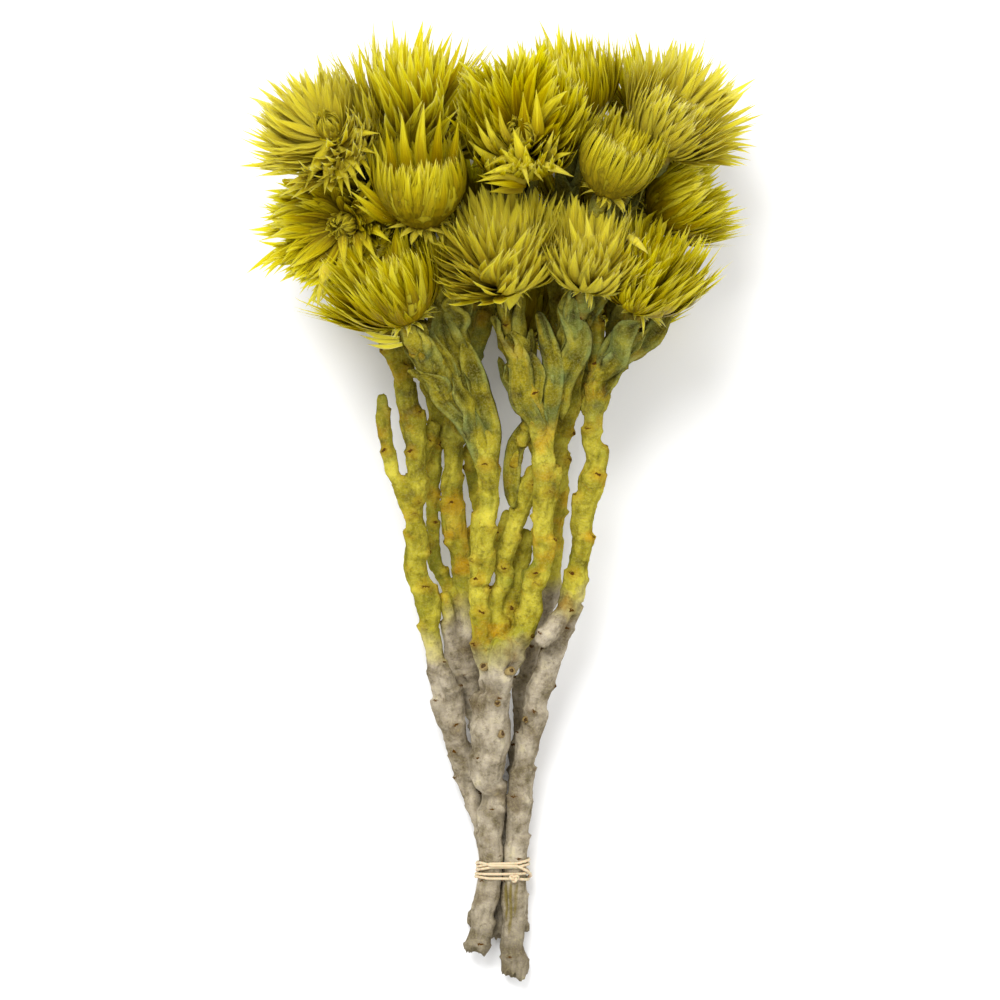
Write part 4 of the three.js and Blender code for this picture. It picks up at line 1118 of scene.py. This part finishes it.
# %% Grow each stem's skin
def skin(name, runs, draw):
    """A stem's wood, leaves and buds as one mesh."""
    wood = rods("wool_" + name, [(run["points"], tapered(run)) for run in runs])
    wood.modifiers.new("skin", "REMESH").mode = "VOXEL"
    wood.modifiers["skin"].voxel_size = VOXEL * MM
    soft = wood.modifiers.new("soft", "SMOOTH")
    soft.factor = 0.5
    soft.iterations = 2
    for modifier in ("skin", "soft"):
        bpy.ops.object.modifier_apply(modifier=modifier)
    copies = [
        hugging(*place, draw) for i, run in enumerate(runs[1:]) for place in leaf_places(run, i)]
    copies += [broad(points, width, draw) for points, width in STEMS[name]["leaf"]]
    x, _, z = LEAF["corners"].T
    places, hollows = (np.array(values) for values in zip(*copies))
    given = {"leaf": ease(z / 0.45)[None], "edge": np.abs(LEAF_EDGE)[None], "hollow": hollows,
             "tint": draw.random(len(copies))[:, None]}
    leaves = built(name + "_leaves", [(LEAF, places, given, np.c_[x + 0.5, z])])
    only(wood)
    leaves.select_set(True)
    if name in BUDS:
        buds_on(name).select_set(True)
    bpy.context.view_layer.objects.active = wood
    bpy.ops.object.join()
    bpy.ops.object.shade_smooth()
    return wood


stems = {}
for number, (name, runs) in enumerate(runs_of.items()):
    stems[name] = skin(name, runs, np.random.default_rng(700 + number))
    print(name, triangles(stems[name]), "triangles")

# %% [markdown]
# ## Ledges over the scars
# For each corner of the skin the nearest step of a course says how far along the wood it is and
# on which side. From that come the height of the ledge over each scar and wrinkles that run
# lengthwise. The corner's place by the nearest scar is kept too, for the finish to stain.

# %% Find each corner's place on the wood
FAR_OFF = 9.0  # mm from any scar, or more


def nearest(runs, corners):
    """For each corner: its run and the step along it."""
    tree = kdtree.KDTree(sum(len(run["at"]) for run in runs))
    owner = []
    for r, run in enumerate(runs):
        for i, p in enumerate(run["points"]):
            tree.insert(p, len(owner))
            owner.append((r, i))
    tree.balance()
    found = np.array(owner)[[tree.find(c)[1] for c in corners]]
    return found[:, 0], found[:, 1]


def ledges(corners, leaf, runs):
    """The height of the ledges at each corner, and its place by the nearest scar."""
    owner, index = nearest(runs, corners)
    ledge, mark = np.zeros((2, len(corners)))
    up, beside = np.full((2, len(corners)), FAR_OFF)
    wrinkle_at = np.zeros((len(corners), 3))
    for r, run in enumerate(runs):
        mine = np.flatnonzero(owner == r)
        i = index[mine]
        away = corners[mine] - run["points"][i]
        ahead, out, side = (
            np.einsum("ij,ij->i", away, run[axis][i]) for axis in ("tangent", "out", "side"))
        along = run["at"][i] + ahead
        angle = np.arctan2(side, out)
        radius = run["radius"][i]
        on_bark = np.clip((1.6 - np.hypot(out, side) / radius) / 0.25, 0, 1) * (1 - leaf[mine])
        wrinkle_at[mine] = np.stack(
            [np.cos(angle) * radius / 1.1, np.sin(angle) * radius / 1.1, along / 7], -1)
        for at, turned, strength in run["marks"]:
            gap = along - at
            round_by = np.angle(np.exp(1j * (angle - turned))) * radius
            facing = 0.25 + 0.75 * np.exp(-((round_by / radius / 1.4) ** 2))
            rim = gap + 0.12 * round_by**2 / radius  # the ledge droops to both sides
            below, above = np.exp(rim / 4.5), np.exp(-rim / 0.6) * 1.5 - 0.5 * np.exp(-rim / 4.0)
            step = np.where(rim < 0, below, above)
            ledge[mine] += np.where(np.abs(gap) < 10, 1.25 * step * facing * on_bark, 0)
            nearer = np.hypot(rim, round_by) < np.hypot(up[mine], beside[mine])
            close = (np.abs(rim) < 7) & nearer
            chosen = mine[close]
            up[chosen], beside[chosen] = rim[close], round_by[close]
            mark[chosen] = strength * on_bark[close]
    return ledge, lumps(wrinkle_at, 1.0, 5.3), {"up": up, "round": beside, "mark": mark}


# %% [markdown]
# ## Wool, grooves and torn ends
# The felt lies in soft lumps, the cut ends are torn, and the bark of one is split by three long
# grooves. A displace modifier could raise the lumps, but all of these also tell the finish where
# they are, so every corner is moved along its normal in code. How far the dye has soaked in is kept
# as well: each stem has its own height at which it began.

# %% Shape the wool
DYE_FROM = {  # Y where the grey wood turns yellow
    "stem_front_left": -52,
    "stem_front_right": -33,
    "stem_left": -50,
    "stem_middle": -40,
    "stem_right": -28,
}
GROOVED = "stem_front_right"
GROOVES = [(1.2, -151), (2.7, -156), (4.6, -149)]  # X, and the Y at which each ends


def split_bark(corners):
    """How deep the long grooves are at each corner, from 0 to 1."""
    x, y, z = corners.T
    groove = np.zeros(len(corners))
    for middle, low in GROOVES:
        wander = 0.5 * lumps(corners * [0, 1, 0], 6.0, middle) + 0.02 * (y + 140)
        line = np.exp(-(((x - middle - wander) / 0.5) ** 2))
        groove += line * ease((y - low) / 6) * ease((-133 - y) / 3) * (z > 9)
    return groove


def shaped(name, obj, runs):
    """Moves a skin's corners out and in, and keeps the numbers that its finish reads."""
    mesh = obj.data
    corners = np.empty(3 * len(mesh.vertices))
    mesh.vertices.foreach_get("co", corners)
    corners = corners.reshape(-1, 3) / MM - SHIFT
    normals = np.array([v.normal for v in mesh.vertices])
    leaf = np.empty(len(corners))
    mesh.attributes["leaf"].data.foreach_get("value", leaf)
    ledge, wrinkle, scars = ledges(corners, leaf, runs)
    wool = 0.45 * lumps(corners, 5.0, 3.1) + 0.22 * lumps(corners, 1.7, 7.7)
    quiet = np.clip((np.abs(corners[:, 1] - BAND_Y) - 4) / 5, 0.15, 1)
    groove = split_bark(corners) if name == GROOVED else np.zeros(len(corners))
    move = (wool + 0.32 * wrinkle) * mix(1.0, 0.8, leaf) + ledge - 0.7 * groove
    corners = corners + normals * (move * quiet)[:, None]
    from_cut = corners[:, 1] - STEMS[name]["trunk"][0][1]
    grain = corners * [1, 0.15, 1]
    torn = lumps(grain, 1.1, 2.2) * 1.7 + lumps(grain, 2.6, 6.2) * 1.5
    corners[:, 1] += torn * np.clip(1 - from_cut / 2.5, 0, 1)
    corners[:, 2] = np.maximum(corners[:, 2], FLOOR - 0.05)
    dyed = (corners[:, 1] - DYE_FROM[name] + 9 * lumps(corners, 12, 1.7)) / 16 + 0.5
    mesh.vertices.foreach_set("co", ((corners + SHIFT) * MM).ravel())
    given = {**scars, "ridge": wrinkle, "dyed": dyed.clip(0, 1), "groove": groove}
    for key, values in given.items():
        number_corners(mesh, key, values)
    mesh.update()


for name, obj in stems.items():
    shaped(name, obj, runs_of[name])
print("stems:", sum(triangles(o) for o in stems.values()), "triangles in all")

# %% [markdown]
# ## The rubber band
# One latex band is wound round and round the tied stems. It pulls tight, so seen along the
# bunch it follows the tightest outline round the stems, while it goes on from turn to turn and
# then crosses back over itself. A small knot closes it.

# %% Wind the band
STRAND = 0.52  # a strand's radius
TURNS_AT = [-126.6, -127.9, -129.2, -131.8, -133.2, -134.6]  # Y where the turns start and end
TILTS = [1.0, 0.9, 0.7, -0.5, -0.9, -0.9]  # how much higher each is on the right
STEPS = 66  # of a turn
CROSSING = 44  # steps over which the end goes back to the start
START = 0.8 * math.pi
KNOT_PLACE = np.array([4.0, -132.8, 18.2])
KNOT_SIZE = 0.52 * np.array([1.0, 0.75, 0.9])
TRUNKS = [stem["trunk"] for stem in STEMS.values()]


def outline_at(angle, y, offset):
    """The tight outline round the tied stems at y, seen from an angle."""
    way = np.array([math.cos(angle), 0, math.sin(angle)])
    rows = [read_at(y, trunk[:, 1], trunk) for trunk in TRUNKS]
    x, _, z, radius = max(rows, key=lambda row: row[:3] @ way - row[1] * way[1] + row[3])
    return np.array([x, y, z]) + way * (radius + offset)


def band_course():
    """Round and round, with a way back across the turns at the end."""
    turns = len(TURNS_AT) - 1
    points = []
    for i in range(STEPS * turns):
        angle = START + 2 * math.pi * i / STEPS
        back = ease(max(0, i - (STEPS * turns - CROSSING)) / CROSSING)
        y, tilt = (np.interp(i / STEPS, range(turns + 1), each) for each in (TURNS_AT, TILTS))
        y = mix(y + tilt * math.cos(angle), TURNS_AT[0] + TILTS[0] * math.cos(START), back)
        lift = 0.62 + math.sin(math.pi * back) + 0.25 * math.sin(5 * angle + i)
        points.append(outline_at(angle, y, lift))
    return np.array(points)


def strand(name, points, radius):
    """A closed strand of rubber."""
    obj = rods(name, [(points, np.full(len(points), radius))], roundness=2, loop=True)
    bpy.ops.object.shade_smooth()
    return obj


turn = np.linspace(0, 2 * math.pi, 60, endpoint=False)
trefoil = np.stack([
    np.sin(turn) + 2 * np.sin(2 * turn),
    np.cos(turn) - 2 * np.cos(2 * turn),
    -np.sin(3 * turn)], -1)
knot = strand("knot", KNOT_PLACE + KNOT_SIZE * trefoil, 0.5)
band = strand("rubber_band_strands", band_course(), STRAND)
knot.select_set(True)
bpy.ops.object.join()
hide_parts("rubber_band")
print("band:", triangles(band), "triangles")

# %% [markdown]
# ## Writing finishes as sums
# A finish is a net of shader nodes. Wires between them can be added and multiplied like numbers
# here: every sum adds a Math node. All other nodes come from one method, which takes the node's
# type, its settings and what goes into its sockets.


# %% Wires that can be added and multiplied
class Wire:
    """A value on its way between shader nodes."""

    def __init__(self, finish, socket):
        self.finish, self.socket = finish, socket

    def _math(self, operation, *values):
        return self.finish.node("Math", {"operation": operation}, *values)

    def __add__(self, other):
        return self._math("ADD", self, other)

    def __sub__(self, other):
        return self._math("SUBTRACT", self, other)

    def __rsub__(self, other):
        return self._math("SUBTRACT", other, self)

    def __mul__(self, other):
        return self._math("MULTIPLY", self, other)

    def __truediv__(self, other):
        return self._math("DIVIDE", self, other)

    __radd__, __rmul__ = __add__, __mul__

    def clipped(self, low, high):
        """0 at low, 1 at high and even between them."""
        return self.finish.node("MapRange", {"clamp": True}, self, low, high, 0.0, 1.0)


# %% [markdown]
# ## A finish
# Each finish is one material round a Principled surface. It knows the few nodes that all of them
# use: numbers kept on the corners, places, noise, a mix of two colours and a relief.


# %% A finish and its nodes
class Finish:
    """A material with one Principled surface."""

    def __init__(self, name, **constants):
        self.material = bpy.data.materials.new(name)
        self.material.use_nodes = True
        self.tree = self.material.node_tree
        self.surface = self.tree.nodes["Principled BSDF"]
        for key, value in constants.items():
            self.surface.inputs[key.replace("_", " ")].default_value = value

    def node(self, kind, settings, *values, output=0, **named):
        """Adds a node. settings are set first, then values go into its sockets in order."""
        made = self.tree.nodes.new("ShaderNode" + kind)
        for key, value in settings.items():
            if key == "stops":
                while len(made.color_ramp.elements) < len(value):
                    made.color_ramp.elements.new(0.5)
                for element, (place, colour) in zip(made.color_ramp.elements, value):
                    element.position, element.color = place, colour
            else:
                setattr(made, key, value)
        sockets = list(zip(range(len(values)), values))
        sockets += [(key.replace("_", " "), value) for key, value in named.items()]
        for key, value in sockets:
            self.plug(made.inputs[key], value)
        return Wire(self, made.outputs[output])

    def plug(self, socket, value):
        """Wires a value into a socket, or sets it there."""
        if isinstance(value, Wire):
            self.tree.links.new(value.socket, socket)
        else:
            socket.default_value = value

    def attributes(self, *names):
        return [self.node("Attribute", {"attribute_name": name}, output="Fac") for name in names]

    def place(self):
        return self.node("TexCoord", {}, output="Object")

    def parts(self, vector):
        """The x, y and z of a vector."""
        return [self.node("SeparateXYZ", {}, vector, output=k) for k in range(3)]

    def noise(self, where, scale, detail=2.0, rough=0.5):
        return self.node(
            "TexNoise", {}, output="Fac", Vector=where, Scale=scale, Detail=detail, Roughness=rough)

    def blend(self, factor, first, second):
        """Mixes two colours."""
        made = self.node("Mix", {"data_type": "RGBA"}, output=2)
        for index, value in ((0, factor), (6, first), (7, second)):
            self.plug(made.socket.node.inputs[index], value)
        return made

    def layers(self, base, *layers):
        """Lays colours over a base, each as thickly as its mask says."""
        for mask, colour in layers:
            base = self.blend(mask, base, rgb(*colour))
        return base

    def bump(self, height, strength, distance):
        """Gives the surface a relief, distance deep in metres."""
        bumped = self.node("Bump", {}, Height=height, Strength=strength, Distance=distance)
        self.plug(self.surface.inputs["Normal"], bumped)

    def colour(self, value):
        self.plug(self.surface.inputs["Base Color"], value)


def rgb(red, green, blue):
    """A colour as a paint chart gives it (0 to 255), made linear."""
    shares = [c / 255 for c in (red, green, blue)]
    return (*(((c + 0.055) / 1.055) ** 2.4 if c > 0.04 else c / 12.92 for c in shares), 1)


# %% [markdown]
# ## Dyed paper bracts
# A dried bract is papery: satin, with fine lines along it, deep gold-green at the root and paler
# towards the tip, where the dye is thin. The dark root is partly painted shade, where the bracts
# crowd round the knob, and the palest tips carry a painted highlight as well. The lines come from
# noise that is stretched along the blade, and every bract is a little lighter or darker than its
# neighbours. The outer bracts of a closed head, the knob and the florets get painted shade too.
# Light goes some way through the thin paper, which keeps the shade between the bracts warm.


# %% The bracts' finish
def papery():
    """The finish of all the heads."""
    f = Finish("papery_bract", Roughness=0.42, Specular_IOR_Level=0.04, Subsurface_Weight=0.55,
               Subsurface_Scale=0.002, Subsurface_Radius=(0.8, 0.7, 0.15))
    along, tint, pale, dusk = f.attributes("along", "tint", "pale", "dusk")
    u, v, _ = f.parts(f.node("UVMap", {"uv_map": UV_MAP}))
    lines_at = f.node("CombineXYZ", {}, u * 5 + tint * 60, v * 1.1, tint * 17)
    lines = f.noise(lines_at, 1.0, detail=4.0, rough=0.6)
    patches = f.noise(f.place(), 160.0)
    # the dye's deep root and pale tip; the dark root is partly painted shade where the bracts crowd
    from_root = [(0.0, rgb(88, 68, 0)), (0.35, rgb(136, 114, 0)), (0.75, rgb(186, 166, 0)),
                 (1.0, rgb(226, 210, 40))]
    at = along + (lines - 0.5) * 1.7 + (tint - 0.5) * 0.4
    shade = f.node("ValToRGB", {"stops": from_root}, at)
    f.colour(f.layers(
        shade,
        ((patches - 0.45).clipped(0, 0.5) * 0.35, (146, 132, 0)),
        # painted shade on the outer bracts of closed heads, the knob, the florets and darker
        # strays, strongest at the root
        (dusk * (1.08 - along).clipped(0.08, 0.6) * 0.9, (116, 94, 0)),
        (pale, (214, 196, 62)),
        ((tint - 0.84).clipped(0, 0.14) * 0.4, (216, 198, 48)),
        ((lines - 0.6).clipped(0, 0.2) * 0.3, (226, 208, 36)),
        # pale tips: thin dye, and a painted highlight as well
        ((along - 0.91).clipped(0, 0.07) * 0.4, (234, 216, 70)),
    ))
    f.bump(lines, 0.8, 0.0005)
    return f.material


paper = papery()
for key, bloom in blooms.items():
    bloom.data.materials.append(paper)
    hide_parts("head_" + key)
    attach(bloom, "root")
print("papery finish on", len(blooms), "heads")

# %% [markdown]
# ## Felt and wool
# The stems wear a coat of wool: grey at the cut ends, then yellow, then olive and sea green among
# the leaves, where the dye has soaked in unevenly. Scars are brown, with an orange stain round them
# where the wood is dyed. The bands of colour follow the length of the bunch, blurred by noise so
# that no edge is straight. A leaf gets painted shade in its hollows and a painted highlight on its
# raised folds, and is bluish on its rims. The troughs of the wool's wrinkles and the inside of each
# bud's cup get painted shade too.


# %% The wool's finish
def woolly():
    """The finish of all the stems."""
    f = Finish("dyed_wool", Roughness=1.0, Specular_IOR_Level=0.02)
    place = f.place()
    y = f.parts(place)[1]
    up, around, mark, ridge, dye = f.attributes("up", "round", "mark", "ridge", "dyed")
    leaf, edge, tint, hollow = f.attributes("leaf", "edge", "tint", "hollow")
    groove, bud = f.attributes("groove", "bud")
    u, v, _ = f.parts(f.node("UVMap", {"uv_map": UV_MAP}))
    veins_at = f.node("CombineXYZ", {}, u * 10 + tint * 40, v * 3.5, tint * 9)
    veins = (f.noise(veins_at, 1.0, detail=4.0, rough=0.65) - 0.5) * leaf * 0.5
    moved = lambda x, y, z: f.node("VectorMath", {"operation": "ADD"}, place, (x, y, z))
    cloud = f.noise(place, 45.0, detail=3.0)
    patch = f.noise(place, 110.0, detail=5.0, rough=0.65)
    spot = f.noise(moved(0.7, 0.3, 0.1), 75.0, detail=4.0)
    sea = f.noise(moved(0.2, 0.9, 0.4), 60.0, detail=4.0, rough=0.6)
    fine = f.noise(place, 420.0, detail=4.0, rough=0.7)
    felt = f.noise(place, 1500.0, detail=3.0, rough=0.7)
    mottle = (patch + veins * 0.8 - 0.34).clipped(0, 0.32)
    grey = f.layers(
        f.blend(mottle, rgb(112, 100, 80), rgb(190, 178, 158)),
        ((spot - 0.54).clipped(0, 0.14) * 0.7, (92, 76, 54)),
        ((y * -1 - 0.136).clipped(0, 0.02) * 0.5, (92, 82, 64)),
    )
    yellow = f.layers(
        f.blend(mottle, rgb(118, 108, 2), rgb(196, 184, 62)),
        ((spot - 0.56).clipped(0, 0.12) * 0.5, (190, 132, 0)),
        ((0.48 - sea).clipped(0, 0.14) * 0.6, (120, 124, 34)),
    )
    rim = (edge + (patch - 0.5) * 0.5 - 0.55).clipped(0, 0.3) * leaf
    olive = f.layers(
        f.blend(mottle, rgb(66, 60, 0), rgb(158, 146, 34)),
        ((sea - 0.48).clipped(0, 0.16) * 0.6, (98, 116, 62)),
        ((0.43 - spot).clipped(0, 0.12) * 0.45, (176, 134, 14)),
        # painted shade in the leaves' hollows, and a painted highlight on their raised folds
        (hollow.clipped(0.1, 1.1) * leaf * 0.75, (48, 44, 2)),
        (hollow.clipped(-0.2, -1.2) * leaf * 0.45, (172, 150, 28)),
        (rim * (sea * 2 - 0.6).clipped(0, 1) * 0.6, (138, 152, 92)),
    )
    leafy = ((y + (cloud - 0.5) * 0.06).clipped(0.004, 0.05) + leaf * 0.7).clipped(0, 1)
    above = up + (fine - 0.5) * 3.4
    beside = around + (patch - 0.5) * 5.0
    above, beside = above * above, beside * beside
    halo = 1 - (above / 12 + beside / 14).clipped(0, 1)
    line = 1 - (above * 5.0 + beside / 3).clipped(0, 1)
    dot = 1 - (above * 2.4 + beside * 1.6).clipped(0, 1)
    deep = (line * 0.8 + dot * (mark - 0.55).clipped(0, 0.3)).clipped(0.2, 1.0)
    soaked = (dye + (patch - 0.5) * 1.2).clipped(0.1, 0.9)
    wool = f.layers(
        f.blend(soaked, grey, f.blend(leafy, yellow, olive)),
        ((felt - 0.45).clipped(0, 0.4) * 0.3, (206, 198, 130)),
        ((fine + veins * 0.5 - 0.53).clipped(0, 0.16) * 0.5, (60, 50, 14)),
        # painted shade in the troughs of the wool's lengthwise wrinkles
        ((0.0 - ridge).clipped(0, 0.8) * 0.4, (52, 46, 4)),
        (groove.clipped(0.2, 0.8) * 0.8, (112, 98, 38)),
        (halo * mark * dye * 0.32, (172, 120, 4)),
        (deep * (mark * 1.2).clipped(0, 0.8), (78, 50, 14)),
    )
    rind = f.blend(fine, rgb(160, 132, 66), rgb(96, 72, 34))
    # the inside of each bud's cup is painted dark as shade
    cup = f.blend(hollow.clipped(0.3, 0.7), f.blend(0.8, wool, rind), rgb(70, 46, 20))
    f.colour(f.blend(bud * 0.9, wool, cup))
    f.bump(felt * 0.5 + patch * 0.8 + fine * 0.6 + veins * 0.9, 0.9, 0.001)
    return f.material


wool = woolly()
for name, obj in stems.items():
    obj.data.materials.clear()
    obj.data.materials.append(wool)
    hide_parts(name)
    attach(obj, "root")
print("wool on", len(stems), "stems")


# %% [markdown]
# ## Old latex
# The band is cream rubber with a dull, dusty skin, lighter where the dust lies.


# %% The band's finish
def latex():
    """The finish of the band."""
    f = Finish("cream_latex", Roughness=0.5, Subsurface_Weight=0.2, Subsurface_Scale=0.001)
    dust = f.noise(f.place(), 400.0, detail=3.0)
    f.colour(f.blend(dust, rgb(188, 168, 130), rgb(212, 196, 164)))
    f.bump(dust, 0.2, 0.0003)
    return f.material


band.data.materials.clear()
band.data.materials.append(latex())
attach(band, "root")

# %% [markdown]
# ## Floor, light and camera
# The bunch lies on a plain pale floor under soft studio light that comes mostly from beyond the
# flowers and above. The camera looks straight down through a long lens, so that heads near to it
# aren't drawn larger than those below.

# %% Stage
VIEW = 0.350  # metres that the frame spans at the middle of the bunch
MIDDLE = (-0.0020, 0.0019, 0.06)
AWAY = 2.6
bpy.ops.object.select_all(action="DESELECT")
bpy.ops.mesh.primitive_grid_add(x_subdivisions=4, y_subdivisions=4, size=6)
floor = bpy.context.object
floor.name = "floor"
plain = Finish("pale_floor", Roughness=0.8, Base_Color=(0.9, 0.9, 0.9, 1))
floor.data.materials.append(plain.material)


def softbox(name, place, size, power, target=(0, 0.05, 0.04)):
    """A round soft light, size metres across."""
    light = bpy.data.lights.new(name, "AREA")
    light.shape = "DISK"
    light.size = size
    light.energy = power
    obj = placed(name, light)
    obj.location = place
    obj.rotation_euler = (Vector(target) - Vector(place)).to_track_quat("-Z", "Y").to_euler()


softbox("key", (-0.35, 0.85, 1.65), 0.9, 30)
softbox("front", (0.5, -0.3, 1.6), 1.2, 7)
world = bpy.data.worlds.new("studio")
bpy.context.scene.world = world
world.use_nodes = True
sky = world.node_tree.nodes["Background"].inputs
sky["Color"].default_value = (1, 1, 1, 1)
sky["Strength"].default_value = 0.88
bpy.context.scene.view_settings.view_transform = "Standard"

camera = bpy.data.cameras.new("camera")
camera.sensor_width = 36
camera.lens = camera.sensor_width * AWAY / VIEW
seat = placed("camera", camera)
seat.location = (*MIDDLE[:2], MIDDLE[2] + AWAY)
bpy.context.scene.camera = seat
